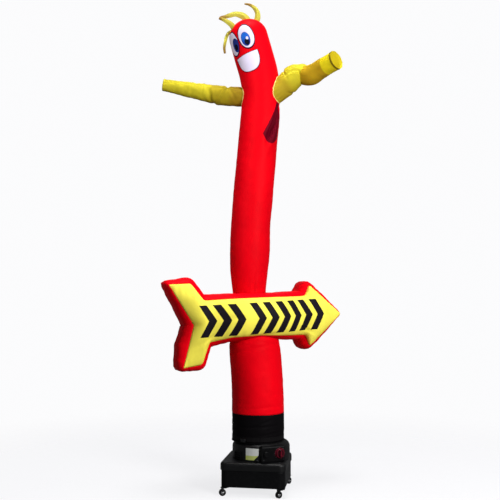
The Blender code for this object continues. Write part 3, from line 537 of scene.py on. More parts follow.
# ------------------------------------------------------------------ sleeves
Crease = namedtuple("Crease", "along around lean reach width depth")
LOWER_CREASES = listed(Crease,
    (0.560, 0.95, 8, 0.22, 0.022, -0.0040), (0.600, 1.15, -12, 0.16, 0.016, -0.0035),
    (0.625, 0.55, 4, 0.20, 0.018, -0.0030), (0.060, 1.02, 3, 0.30, 0.016, -0.0014),
    (0.110, 0.70, -4, 0.22, 0.014, -0.0012), (0.030, 0.40, 2, 0.25, 0.014, -0.0016))
COLLAR_CREASES = listed(Crease,
    (0.128, 0.95, 2, 0.30, 0.012, -0.0050), (0.110, 0.40, -3, 0.26, 0.012, -0.0045),
    (0.075, 1.22, 6, 0.12, 0.010, -0.0040), (0.090, 0.75, -14, 0.10, 0.010, -0.0040),
    (0.160, 1.10, 20, 0.12, 0.012, -0.0030), (0.170, 0.80, -8, 0.14, 0.012, -0.0030))
UPPER_CREASES = listed(Crease,
    (0.200, 0.86, 82, 0.16, 0.020, -0.0060), (0.230, 0.62, 96, 0.20, 0.022, -0.0060),
    (0.210, 0.98, 100, 0.14, 0.018, -0.0050), (0.240, 0.10, 85, 0.18, 0.020, -0.0050),
    (0.220, 0.30, 94, 0.16, 0.020, -0.0055), (0.200, 0.46, 88, 0.15, 0.018, -0.0045),
    (1.900, 0.02, 30, 0.14, 0.020, -0.0030), (1.980, 1.06, -28, 0.12, 0.018, -0.0030),
    (2.120, 0.68, 16, 0.14, 0.022, -0.0030), (2.060, 0.56, -22, 0.12, 0.020, -0.0026),
    (1.690, 0.955, 72, 0.17, 0.034, -0.0300), (1.620, 0.915, 60, 0.08, 0.030, -0.0100))


END_FADE, PUCKER_FADE, PUCKERS, PUCKER_HEIGHT = 0.02, 0.035, 46, 0.0007
SLOW_WAVES, SLOW_HEIGHT, QUICK_WAVES, QUICK_HEIGHT = 0.16, 0.0011, 0.06, 0.0004
HEAD_FROM, HEAD_FADE = 0.50, 0.10         # under the crown's foot: from here up the head is nearly uncreased
CROWN_END, CROWN_RINGS = 88, 24


def sleeve_cloth(name, table, seeds, crease_table, material, replaced, level, dome=0.0):
    """A big sleeve. Its radius gains the creases, slow unevenness of 1 to 2 mm, and puckers at its sewn
    ends that die away from there as exp(-s / PUCKER_FADE). Above the last section the crown is c + h sin u
    ahead + r cos u ring, u from 0 to CROWN_END degrees."""
    settings = bpy.context.scene.air_dancer_cloth
    rows, along, turn, girth, plain = tube_of(table, CLOTH_STEP, (1, 0, 0), SIDES, level)
    left = along[-1] - along
    fade = np.minimum(1.0, along / END_FADE)
    ends = np.exp(-along / PUCKER_FADE)
    if not dome:
        fade = fade * np.minimum(1.0, left / END_FADE)
        ends = ends + np.exp(-left / PUCKER_FADE)
    else:
        fade = fade * (1 - 0.9 * np.clip((HEAD_FROM - left) / HEAD_FADE, 0, 1))
    slow = swell(plain * (1.0, 1.0, 0.45), SLOW_WAVES, seeds[0]) * SLOW_HEIGHT
    slow = slow + swell(plain, QUICK_WAVES, seeds[1]) * QUICK_HEIGHT
    folds = creases(crease_table, along[:, None], turn[None] / (2 * pi) * girth, girth)
    moved = (folds + slow) * fade[:, None]
    moved = moved + ends[:, None] * ruffle(turn, PUCKERS, seeds[2])[None] * PUCKER_HEIGHT
    grid, ahead = tube_points(rows, (1, 0, 0), SIDES, moved, level)
    pole = None
    if dome:
        tilt = np.radians(np.linspace(0, CROWN_END, CROWN_RINGS)[1:])[:, None, None]
        ring = (plain[-1] - rows[-1, :3])[None]
        crown = rows[-1, :3] + ahead[-1] * dome * np.sin(tilt) + ring * np.cos(tilt)
        grid = np.concatenate([grid, crown])
        along = np.concatenate([along, along[-1] + dome * 1.1 * np.sin(tilt[:, 0, 0])])
        pole = on_outlet(rows[-1, :3] + ahead[-1] * dome)
    mesh = grid_mesh(name, on_outlet(grid), flat_tube(along, SIDES, girth), wrap=True, pole=pole)
    thing = thicken(settle(name, mesh, material, replaced), settings.thickness)


# a painted shadow of the right arm on the upper sleeve: its maroon, and where the wedge's edges lie
ARM_SHADOW_PAINT = (0.115, 0.0008, 0.0080)
ARM_SHADOW_LEFT, ARM_SHADOW_RIGHT, ARM_SHADOW_FOOT, ARM_SHADOW_POINT = (0.848, 0.856), (1.034, 1.022), (1.512, 1.526), (1.905, 1.885)
ARM_SHADOW_LEAN, ARM_SHADOW_LEAN_FROM, ARM_SHADOW_ROUND, ARM_SHADOW_MIDDLE = 0.414, 1.599, 10.0, 0.935


def painted_arm_shadow(finish, base):
    """A painted shadow of the right arm, in maroon on the sleeve under it: a wedge with its point up, one
    leaning side, and a round foot. Each edge is where it starts and where it is full."""
    around, along = finish.flat()
    off = around - ARM_SHADOW_MIDDLE
    side = (around - (along - ARM_SHADOW_LEAN_FROM) * ARM_SHADOW_LEAN).step(*ARM_SHADOW_LEFT) * around.step(*ARM_SHADOW_RIGHT)
    foot = (along - off * off * ARM_SHADOW_ROUND).step(*ARM_SHADOW_FOOT) * along.step(*ARM_SHADOW_POINT)
    return finish.mix(base, ARM_SHADOW_PAINT, side * foot)


def surface_out(points):
    """How far points stand out of the upper sleeve: their distance from its axis at their height, less its
    radius."""
    rows = smooth_rows(UPPER_SLEEVE, 0.01)
    x, radius = (np.interp(points[..., 2], rows[:, 2], rows[:, k]) for k in (0, 3))
    return np.hypot(points[..., 0] - x, points[..., 1]) - radius


ARM_STEP, ARM_RING, ARM_SIDES = 0.005, 0.006, 72
ARM_FADE, ARM_WAVES, ARM_HEIGHT = 0.03, 0.07, 0.0009
ROOT_START, ROOT_FADE, ROOT_PUCKERS, ROOT_HEIGHT = 0.008, 0.05, 15, 0.0030
MOUTH_FADE, MOUTH_PUCKERS, MOUTH_HEIGHT = 0.04, 9, 0.0008
HEM, HEM_HEIGHT, SEAM_PLACE, SEAM_WIDTH, SEAM_DEPTH = 0.022, 0.0011, 0.002, 0.003, 0.0008
PIPING_RADIUS, PIPING_SIDES = 0.0042, 8
ARM_CREASES = {
    "left": listed(Crease, (0.378, 0.34, 22, 0.13, 0.022, -0.0095), (0.525, 0.40, -6, 0.12, 0.022, -0.0040),
        (0.262, 0.36, -24, 0.13, 0.022, -0.0100), (0.200, 0.42, 28, 0.12, 0.020, -0.0060),
        (0.318, 0.20, 50, 0.10, 0.020, -0.0050), (0.620, 0.36, 14, 0.09, 0.020, -0.0020)),
    "right": listed(Crease, (0.372, 0.44, 6, 0.17, 0.015, -0.0200), (0.402, 0.26, -14, 0.14, 0.013, -0.0140),
        (0.250, 0.34, 30, 0.12, 0.016, -0.0070), (0.318, 0.56, -22, 0.14, 0.014, -0.0100),
        (0.445, 0.40, 18, 0.12, 0.014, -0.0080), (0.300, 0.10, 60, 0.12, 0.016, -0.0080)),
}


# painted shade and light in the arms' yellow: deeper where shade falls, lighter at the right cuff, a dark
# shadow line at its hem
ELBOW_PAINTED_SHADE, LEFT_ROOT_PAINTED_SHADE = (0.31, 0.237, 0.011), (0.23, 0.142, 0.009)
RIGHT_ROOT_PAINTED_SHADE, FOREARM_PAINTED_SHADE = (0.34, 0.22, 0.014), (0.43, 0.270, 0.011)
CUFF_PAINTED_LIGHT, HEM_PAINTED_SHADOW = (0.70, 0.58, 0.012), (0.17, 0.125, 0.006)
# along the arm: where each painted shade and light starts to change, and where it has
ELBOW_FROM, LEFT_ROOT_FROM, RIGHT_ROOT_FROM = (0.435, 0.385), (0.250, 0.18), (0.345, 0.25)
FOREARM_FROM, CUFF_FROM, HEM_FROM = (0.450, 0.475), (0.685, 0.700), (0.794, 0.799)


def arm_painted_shade(side):
    """Painted shade and light on an arm: darker up to the elbow and more so at the root, and on the right
    arm along the forearm too; the right arm's cuff is painted lighter, and its hem has a painted shadow
    line."""
    def printed(finish, base):
        around, along = finish.flat()
        ragged = finish.noise(finish.place(), 9.0, 3.0) * 0.30
        if side == "left":
            painted_darker = (along + ragged * 0.3 - around * 0.05).step(*ELBOW_FROM)
            colour = finish.mix(base, ELBOW_PAINTED_SHADE, painted_darker)
            return finish.mix(colour, LEFT_ROOT_PAINTED_SHADE, (along + ragged * 0.2).step(*LEFT_ROOT_FROM) * 0.8)
        forearm = (along + ragged * 0.15).step(*FOREARM_FROM) * along.step(*reversed(CUFF_FROM))
        colour = finish.mix(base, FOREARM_PAINTED_SHADE, forearm)
        colour = finish.mix(colour, CUFF_PAINTED_LIGHT, along.step(*CUFF_FROM))
        colour = finish.mix(colour, RIGHT_ROOT_PAINTED_SHADE, (along + ragged * 0.3).step(*RIGHT_ROOT_FROM) * 0.75)
        return finish.mix(colour, HEM_PAINTED_SHADOW, along.step(*HEM_FROM))

    return printed


def arm_cloth(side, table, material, seed):
    """An arm: a tube whose first ring lies on the sleeve. Every lengthwise line starts where it leaves the
    sleeve, found where its height over the sleeve's cloth passes nought, and runs to the open mouth. Its
    radius gains the creases, puckers exp(-s / ROOT_FADE) at the root and a doubled hem at the mouth."""
    settings = bpy.context.scene.air_dancer_cloth
    rows, along, turn, girth, plain = tube_of(table, ARM_STEP, (0, 0, 1), ARM_SIDES)
    out = surface_out(plain)
    first = (out > 0.0).argmax(axis=0)
    column = np.arange(ARM_SIDES)
    low, high = out[first - 1, column], out[first, column]
    start = along[first - 1] + (along[first] - along[first - 1]) * (-low / (high - low))
    share = np.linspace(0, 1, round((along[-1] - start.mean()) / ARM_RING) + 1)[:, None]
    at = start + (along[-1] - start) * share
    gone, mouth = at - start, along[-1] - at
    root = np.exp(-gone / ROOT_FADE) * (1 - np.exp(-gone / ROOT_START))
    moved = creases(ARM_CREASES[side], at, turn[None] / (2 * pi) * girth, girth)
    moved *= 1 - np.exp(-gone / ARM_FADE)
    cloth = np.stack(np.broadcast_arrays(at, turn * 0.08, 0.0), axis=-1)
    moved += swell(cloth, ARM_WAVES, seed) * ARM_HEIGHT
    moved += root * ruffle(turn, ROOT_PUCKERS, seed + 1, 4) * ROOT_HEIGHT
    seam = np.exp(-((mouth - HEM - SEAM_PLACE) / SEAM_WIDTH) ** 2) * SEAM_DEPTH
    moved += np.where(mouth < HEM, HEM_HEIGHT, 0.0) - seam
    moved += np.exp(-mouth / MOUTH_FADE) * ruffle(turn, MOUTH_PUCKERS, seed + 2, 3) * MOUTH_HEIGHT
    step = along[1] - along[0]
    k = np.clip((at / step).astype(int), 0, len(along) - 2)
    part = (at / step - k)[..., None]
    centre = rows[k, :3] * (1 - part) + rows[k + 1, :3] * part
    skin = plain[k, column] * (1 - part) + plain[k + 1, column] * part
    outward = unit(skin - centre)
    grid = skin + moved[..., None] * outward
    flat = np.stack([np.broadcast_to(np.linspace(0, girth, ARM_SIDES + 1), (len(share), ARM_SIDES + 1)),
                     np.concatenate([at, at[:, :1]], axis=1)], axis=-1)
    name = f"arm_{side}_cloth"
    mesh = grid_mesh(name, on_outlet(grid), flat, wrap=True)
    thing = thicken(settle(name, mesh, material, [f"arm_{side}"]), settings.thickness)
    # the inner face takes the arms' inside cloth, whose glow is painted light
    mesh.materials.append(bpy.data.materials["arm_inside_cloth"])
    thing.modifiers["thickness"].material_offset = 1
    welt = piping(f"arm_{side}_piping", grid[0] + 0.0006 * outward[0])
    round(float(along[-1] - start.min()), 3)


def piping(name, line):
    """A thin tube round a closed line of points in the figure's frame: c + r (cos u out + sin u over)."""
    ahead = unit(np.roll(line, -1, axis=0) - np.roll(line, 1, axis=0))
    out = line - line.mean(axis=0)
    out = unit(out - (out * ahead).sum(1)[:, None] * ahead)
    over = np.cross(ahead, out)
    turn = turns(PIPING_SIDES)
    grid = line[:, None] + PIPING_RADIUS * (np.cos(turn)[None, :, None] * out[:, None]
                                            + np.sin(turn)[None, :, None] * over[:, None])
    grid = np.concatenate([grid, grid[:1]])
    along = lengths(line)
    along = np.concatenate([along, [along[-1] + np.linalg.norm(line[0] - line[-1])]])
    flat = flat_tube(along, PIPING_SIDES, 2 * pi * PIPING_RADIUS)
    mesh = grid_mesh(name, on_outlet(grid), flat, wrap=True)
    heal(mesh, 0.00002)
    return settle(name, mesh, bpy.data.materials["piping_cream"])


# ------------------------------------------------------------------ face and hair
def head_surface(along, angle, lift):
    """Points on the head at heights along it, from the sleeve's last section but two, and angles round it:
    on the sleeve's curve up to its last section, and above that on the crown c + h sin u ahead + r cos u
    out, with h sin u the height over the section."""
    rows = smooth_rows(UPPER_SLEEVE[-4:], 0.01)
    ahead, first, second = across(rows[:, :3], (1, 0, 0))
    neck, crown = np.array(UPPER_SLEEVE[-3][:3]), rows[-1, :3]
    length = np.linalg.norm(crown - neck)
    height = (rows[:, :3] - neck) @ (crown - neck) / length

    def read(table):
        return np.stack([np.interp(along, height, column) for column in table.T], axis=-1)

    c, s = np.cos(angle)[..., None], np.sin(angle)[..., None]
    out = unit(c * read(first) + s * read(second))
    below = read(rows[:, :3]) + (read(rows[:, 3:]) + lift) * out
    tilt = np.arcsin(np.clip((along - length) / HEAD_DOME, 0, 0.999))[..., None]
    top_out = c * first[-1] + s * second[-1]
    radius = rows[-1, 3]
    normal = unit(np.cos(tilt) * top_out / radius + np.sin(tilt) * ahead[-1] / HEAD_DOME)
    above = crown + ahead[-1] * HEAD_DOME * np.sin(tilt) + radius * np.cos(tilt) * top_out + lift * normal
    return np.where((along <= length)[..., None], below, above)


PATCH_SIDES, PATCH_RINGS, PATCH_LIFT, PATCH_ROLL = 96, 26, 0.0022, 0.0012
SMILE_POWER = 2 / 2.4


def face_cloth(name, patch, material):
    """A sewn-on patch: rings of its outline drawn in to its middle, laid on the head and lifted off it by
    PATCH_LIFT + PATCH_ROLL (1 - share⁸), so that its edge is rolled. The outline is an oval, or a smile:
    straight on top and a squared half oval under it."""
    turn = turns(PATCH_SIDES)
    outline = np.column_stack([patch.half_along * np.sin(turn), patch.half_around * np.cos(turn)])
    middle = patch.along
    if patch.flat_top:
        around = patch.half_around * np.sign(np.cos(turn)) * np.abs(np.cos(turn)) ** SMILE_POWER
        below = np.where(np.sin(turn) > 0, 0.0, -patch.half_along * np.abs(np.sin(turn)) ** SMILE_POWER)
        outline = np.column_stack([below + patch.half_along * SMILE_CENTRE, around])
        middle = patch.along - patch.half_along * SMILE_CENTRE
    share = np.linspace(1, 0.03, PATCH_RINGS)[:, None, None]
    offset = outline[None] * share
    c, s = cos(FACE_LEAN), sin(FACE_LEAN)
    leaning = offset @ np.array(((c, -s), (s, c)))
    radius = UPPER_SLEEVE[-2].radius
    lift = PATCH_LIFT + PATCH_ROLL * (1 - share[..., 0] ** 8)
    grid = head_surface(middle + leaning[..., 0], patch.angle + leaning[..., 1] / radius, lift[..., None])
    pole = head_surface(np.array([middle]), np.array([patch.angle]), PATCH_LIFT + PATCH_ROLL)[0]
    flat = np.concatenate([offset, offset[:, :1]], axis=1)
    mesh = grid_mesh(name, on_outlet(grid), flat[..., ::-1], wrap=True, pole=on_outlet(pole))
    edge = mesh.uv_layers.new(name="edge")
    corners = cells(np.broadcast_to(share, (PATCH_RINGS, PATCH_SIDES + 1, 2))).reshape(-1, 2)
    rest = np.zeros((len(mesh.loops) - len(corners), 2))
    edge.data.foreach_set("uv", np.concatenate([corners, rest]).astype(np.float32).ravel())
    thing = thicken(settle(name, mesh, material, [name.replace("_patch", "")]), 0.0010)


OUTLINE, RIM, PUPIL = (0.050, 0.002, 0.014), (0.012, 0.02, 0.10), (0.004, 0.004, 0.012)
EYE_DEEP, EYE_FADE = (0.008, 0.03, 0.22), (0.03, -0.045)
GLINT = Print(0.031, 0.012, 0.014, 0.012)           # from the pupil's middle
EYE_EDGE, MOUTH_EDGE = (0.875, 0.905), (0.915, 0.94)
RIM_ALONG, RIM_AROUND = 1.06, 1.07
# blue at the top of each iris; the left eye's is the same blue painted darker, as painted shade
EYE_LIGHT = {"eye_right": (0.012, 0.095, 0.46), "eye_left": (0.014, 0.025, 0.16)}


def oval(along, around, shape, soft=0.05):
    """1 inside a printed oval and 0 outside it."""
    a, b = (along - shape.along) / shape.half_along, (around - shape.around) / shape.half_around
    return (a * a + b * b).step(1 + soft, 1 - soft)


def eye_print(name):
    """An iris that deepens downwards, with a dark rim and a pupil, a glint in the right eye, and the
    outline."""
    iris, pupil = IRISES[name]
    glint = GLINT._replace(along=pupil.along + GLINT.along, around=pupil.around + GLINT.around)
    rim = iris._replace(half_along=iris.half_along * RIM_ALONG, half_around=iris.half_around * RIM_AROUND)

    def printed(finish, base):
        around, along = finish.flat()
        blue = finish.mix(EYE_LIGHT[name], EYE_DEEP, (along - iris.along).step(*EYE_FADE))
        colour = base
        for shape, ink in ((rim, RIM), (iris, blue), (pupil, PUPIL)):
            colour = finish.mix(colour, ink, oval(along, around, shape))
        if name == "eye_right":
            colour = finish.mix(colour, base, oval(along, around, glint, 0.2))
        return finish.mix(colour, OUTLINE, finish.flat("edge")[0].step(*EYE_EDGE))

    return printed


def mouth_print(finish, base):
    return finish.mix(base, OUTLINE, finish.flat("edge")[0].step(*MOUTH_EDGE))


HAIR_COLOUR, HAIR_TIP = (0.37, 0.335, 0.045), (0.20, 0.11, 0.02)


def hair_print(finish, base):
    """The streamers are darker and browner towards their tips, unevenly."""
    ragged = finish.flat()[1] + finish.noise(finish.place(), 30.0) * 0.35 - 0.17
    return finish.mix(base, HAIR_TIP, ragged.step(0.55, 0.95))


def hair_cloth(name, table, seed, material):
    """A streamer: a tapered strip of nylon folded lengthwise. Across it, x from -1 to 1, a point stands w x
    to the side and w (0.5 sqrt(x² + 0.03) - 0.24 + 0.05 x sin(60 s)) forwards, and the fold turns slowly
    along it."""
    settings = bpy.context.scene.air_dancer_cloth
    rows = smooth_rows([(lock.x, lock.y, lock.z, lock.width / 2) for lock in table], 0.004)
    _, depth, wide = across(rows[:, :3], (0, 1, 0))
    along = lengths(rows[:, :3])
    x = np.linspace(-1, 1, 17)[None, :, None]
    width = rows[:, 3][:, None, None]
    twist = (0.35 * np.sin(along * 16 + seed) * np.clip(along / 0.05, 0, 1))[:, None, None]
    fold = 0.50 * np.sqrt(x ** 2 + 0.03) - 0.24 + 0.05 * np.sin(along * 60 + seed)[:, None, None] * x
    side = np.cos(twist) * wide[:, None] + np.sin(twist) * depth[:, None]
    out = np.cos(twist) * depth[:, None] - np.sin(twist) * wide[:, None]
    grid = rows[:, None, :3] + width * (x * side + fold * out)
    flat = np.stack(np.broadcast_arrays(x[..., 0] * rows[:, 3].max(), along[:, None] / along[-1]), axis=-1)
    mesh = grid_mesh(name, on_outlet(grid), flat)
    thing = settle(name, mesh, material, [name.replace("_streamer", "")])
    thicken(thing, settings.thickness, 0.0)
    round(float(rows[:, 3].max() * 2.35), 3)
    round(float(2.3 * rows[:, 3].mean() * along[-1]), 5)


# ------------------------------------------------------------------ the arrow
def arrow_place(along, up, depth):
    """Points in the figure's frame from the arrow's own measures: along it, up in its plane, and to its
    front."""
    ahead = np.array((cos(ARROW_YAW) * cos(ARROW_RISE), sin(ARROW_YAW) * cos(ARROW_RISE), sin(ARROW_RISE)))
    front = np.array((sin(ARROW_YAW), -cos(ARROW_YAW), 0.0))
    upward = np.cross(front, ahead)
    return (np.array((ARROW_X, 0.0, ARROW_Z)) + along[..., None] * ahead + up[..., None] * upward
            + depth[..., None] * front)


def half_depth(along, side=1):
    """Half the chamber's depth at its seams: a + b exp(-(along / c)⁴), wider where the sleeve passes. At
    the back it loses d t^1.5 at the tail's tips, t from 0 where the pinch begins to 1."""
    pinch = TAIL_PINCH * np.clip((PINCH_FROM - along) / PINCH_LENGTH, 0, 1) ** 1.5
    return ARROW_HALF_DEPTH + ARROW_WAIST * np.exp(-((along / ARROW_WAIST_LENGTH) ** 4)) - pinch * (side < 0)


def arrow_columns():
    """The arrow's edges and bulge read every ARROW_STEP along them, with the corners rounded: three times,
    each reading becomes half of itself and a quarter of each neighbour."""
    stops = np.array(ARROW_EDGES)
    gaps = np.linalg.norm(np.diff(stops[:, :2], axis=0), axis=1)
    pieces = np.maximum(1, np.round(gaps / ARROW_STEP).astype(int))
    at = np.concatenate([[0.0], np.repeat(1 / pieces, pieces).cumsum()])
    columns = np.stack([np.interp(at, np.arange(len(stops)), column) for column in stops.T], axis=-1)
    for _ in range(3):
        columns[1:-1] = columns[1:-1] * 0.5 + (columns[:-2] + columns[2:]) * 0.25
    return columns


PANEL_FADE, PANEL_WAVES, PANEL_HEIGHT = 0.10, 0.17, 0.0016
BACK_CREASES = 0.6                        # the back panel's creases are this much of the front's
PUCKER_START, PUCKER_END, PUCKER_PITCH, SEAM_HEIGHT = 0.03, 0.20, 0.062, 0.0075
BAND_END, BAND_PUCKERS, BAND_FOLDS, FOLD_HEIGHT = 0.25, 74, 30, 0.0018
BAND_INSET, BAND_HALF_WIDTH = 0.0013, 0.17
PANEL_FOOT, UNWRAPPED = 0.45, 99.0        # where crease heights start, under the middle; an endless girth
PANEL_CREASES = listed(Crease,
    (0.030, 0.300, 84, 0.16, 0.026, -0.0120), (-0.100, 0.250, 70, 0.07, 0.012, -0.0040),
    (-0.055, 0.255, 100, 0.06, 0.010, -0.0045), (-0.470, 0.300, 62, 0.12, 0.020, -0.0060),
    (-0.440, 0.640, -58, 0.12, 0.020, -0.0060), (0.470, 0.640, 70, 0.10, 0.020, -0.0060),
    (0.450, 0.320, -66, 0.10, 0.020, -0.0060), (-0.250, 0.470, 90, 0.10, 0.030, -0.0030))


def closer_at_edges(share):
    """Evenly spaced shares from -1 to 1, drawn towards both ends."""
    return np.sin(share * pi / 2) * 0.35 + share * 0.65


def panel_grid(side, seed):
    """One face of the arrow: rows up its height, columns along it; the tail's columns are chevrons and the
    nose's bow out. Its depth is half_depth + crown sqrt(1 - t²), t from -1 to 1 up the panel, with puckers
    along the seams."""
    top_along, top_up, low_along, low_up, _ = arrow_columns().T
    share = closer_at_edges(np.linspace(-1, 1, ARROW_ROWS + 1)[:, None])
    inwards = 1 - np.abs(share)
    rise = (share + 1) / 2
    tail, neck, head, tip = (ARROW_EDGES[k].top_along for k in (0, 2, -3, -1))
    along = low_along + rise * (top_along - low_along)
    up = low_up + rise * (top_up - low_up)
    notch = (ARROW_NOTCH - along[ARROW_ROWS // 2, 0]) * np.clip((neck - top_along) / (neck - tail), 0, 1)
    nose = (ARROW_TIP - tip) * np.clip((top_along - head) / (tip - head), 0, 1)
    along = along + inwards * notch + (1 - share ** 2) * nose
    ends = np.minimum((top_along - tail) / TAIL_ROUND, (ARROW_TIP - top_along) / NOSE_ROUND)
    crown = np.sqrt(1 - share ** 2) * np.sin(np.clip(ends, 0, 1) * pi / 2) ** 0.8
    full = np.clip((top_up - low_up) / FULL_CROWN_HEIGHT, 0, 1)
    depth = half_depth(along, side) + PANEL_CROWN * crown * full
    inside = 1 - np.exp(-inwards / PANEL_FADE)
    folds = creases(PANEL_CREASES, along, up + PANEL_FOOT, UNWRAPPED)
    depth = depth + folds * inside * (1.0 if side > 0 else BACK_CREASES)
    edge = np.exp(-inwards / PUCKER_END) * (1 - np.exp(-inwards / PUCKER_START))
    wave = np.sin(2 * pi * along / PUCKER_PITCH + 2.1 * np.sin(along * 9 + seed))
    wave = wave * np.sin(along * 5 + seed * 2) ** 2
    depth = depth + edge * wave * SEAM_HEIGHT
    place = arrow_place(along, up, side * depth)
    depth = depth + swell(place, PANEL_WAVES, seed) * PANEL_HEIGHT * inside
    return arrow_place(along, up, side * depth), along, up


def rim_of(grid):
    """The points round the edge of a grid."""
    return np.concatenate([grid[0], grid[1:-1, -1], grid[-1, ::-1], grid[-2:0:-1, 0]])


Row = namedtuple("Row", "start count")
CHEVRON_PITCH, CHEVRON_LEAN, CHEVRON_HALF_HEIGHT, CHEVRON_MIDDLE = 0.118, 0.55, 0.135, 0.006
CHEVRON_ROWS, CHEVRON_INK = listed(Row, (-0.560, 3), (-0.140, 6)), (0.010, 0.008, 0.012)


def chevrons(finish, base):
    """Two rows of plain black chevrons along the arrow: bands of along + lean |up| that come every
    pitch."""
    along, up = finish.flat()
    height = (up - CHEVRON_MIDDLE).math("ABSOLUTE")
    inside = height.step(CHEVRON_HALF_HEIGHT + 0.002, CHEVRON_HALF_HEIGHT - 0.002)
    colour = base
    for row in CHEVRON_ROWS:
        leaning = along - row.start + height * CHEVRON_LEAN - CHEVRON_LEAN * CHEVRON_HALF_HEIGHT
        place = leaning / CHEVRON_PITCH
        within = (place - place.math("FLOOR") - 0.5).math("ABSOLUTE").step(0.30, 0.28)
        ends = place.step(-0.01, 0.01) * place.step(row.count + 0.01, row.count - 0.01)
        colour = finish.mix(colour, CHEVRON_INK, within * inside * ends)
    return colour


def arrow_band(rim_along, rim_up, bulge, seed):
    """The band between the panels' rims: x from -1 to 1 across it, standing out by bulge (1 - x⁴) square to
    the rim, with puckers at both seams and soft folds between them."""
    step = np.roll(rim_along, -1) - np.roll(rim_along, 1), np.roll(rim_up, -1) - np.roll(rim_up, 1)
    size = np.hypot(*step)
    outwards = np.stack([step[1] / size, -step[0] / size])
    for _ in range(2):
        outwards = outwards * 0.5 + (np.roll(outwards, 1, axis=1) + np.roll(outwards, -1, axis=1)) * 0.25
    outwards /= np.linalg.norm(outwards, axis=0)
    x = np.linspace(-1, 1, BAND_RINGS)[:, None]
    round_it = lengths(np.column_stack([rim_along, rim_up]))
    turn = round_it / (round_it[-1] + ARROW_STEP) * 2 * pi
    seam = np.exp(-(1 - np.abs(x)) / BAND_END) * (1 - x ** 2)
    out = bulge * (1 - x ** 4) + seam * ruffle(turn, BAND_PUCKERS, seed, 14) * SEAM_HEIGHT
    out = out + (1 - x ** 2) * ruffle(turn, BAND_FOLDS, seed + 1, 8) * FOLD_HEIGHT
    along, up = rim_along + out * outwards[0], rim_up + out * outwards[1]
    depth = np.broadcast_to(x * (half_depth(rim_along, x) - BAND_INSET), along.shape)
    round_it = np.append(round_it, round_it[-1] + ARROW_STEP)
    flat = np.stack(np.broadcast_arrays(round_it[None], x * BAND_HALF_WIDTH), axis=-1)
    return arrow_place(along, up, depth), flat


CUTTER_SIDES, CUTTER_GAP = 64, 0.001


def cutter(name, table, level):
    """A closed solid a little wider than a sleeve's outside, to cut what the sleeve passes through: the
    sleeve's rings, and at either end a ring a fiftieth as wide with a face in it."""
    rows = smooth_rows(table, 0.02)
    rows[:, 3] += CUTTER_GAP
    grid, _ = tube_points(rows, (1, 0, 0), CUTTER_SIDES, 0.0, level)
    foot, head = (rows[end, :3] + (grid[end] - rows[end, :3]) * 0.02 for end in (0, -1))
    grid = np.concatenate([foot[None], grid, head[None]])
    number = numbered(len(grid), CUTTER_SIDES)
    faces = cells(number).reshape(-1, 4).tolist() + [number[0, -2::-1].tolist(), number[-1, :-1].tolist()]
    thing = placed(name, bare_mesh(name, on_outlet(grid).reshape(-1, 3), faces))
    thing.hide_render = True
    return thing


def cut_by(thing, cutters):
    """Takes the cutters out of the object and bakes all its modifiers into its mesh. The cutters are
    deleted."""
    for tool in cutters:
        hole = thing.modifiers.new("hole", "BOOLEAN")
        hole.operation, hole.solver, hole.object = "DIFFERENCE", "EXACT", tool
    graph = bpy.context.evaluated_depsgraph_get()
    made = bpy.data.meshes.new_from_object(thing.evaluated_get(graph), depsgraph=graph)
    thing.modifiers.clear()
    thing.data = made
    for tool in cutters:
        bpy.data.objects.remove(tool)


# ------------------------------------------------------------------ operators
CAMERA_PLACE, CAMERA_UP, CAMERA_ROUND = (1.033, -6.626, 1.66), radians(3.81), radians(9)
Lamp = namedtuple("Lamp", "name power size place aim spread")
LAMPS = listed(
    Lamp,
    ("key_light", "key", 2.2, (4.8, -4.7, 3.4), (0, 0, 2.2), 180),
    ("fill_light", "fill", 1.6, (-2.6, -6.6, 4.6), (-0.1, 0, 3.6), 34),
    ("top_light", "top", 2.2, (0.2, -1.0, 8.6), (0, 0, 2.0), 150),
    ("rim_light", "fill", 2.5, (-1.5, 5.5, 5.0), (0, 0, 2.4), 180),
)
FLOOR_RADIUS, FLOOR_SIDES, FLOOR_FADE = 6.0, 96, (5.2, 1.6)     # the fade is from gone to whole
FLOOR_COLOUR, FLOOR_GLOW, FLOOR_GLOW_STRENGTH = (0.14, 0.14, 0.142, 1), (0.98, 0.98, 1.0, 1), 0.80
BACKDROP_RADIUS, BACKDROP_SIDES, BACKDROP_GLOW = 40.0, 48, (0.97, 0.97, 0.98, 1)
EVEN_LIGHT = (0.97, 0.98, 1.0, 1.0)


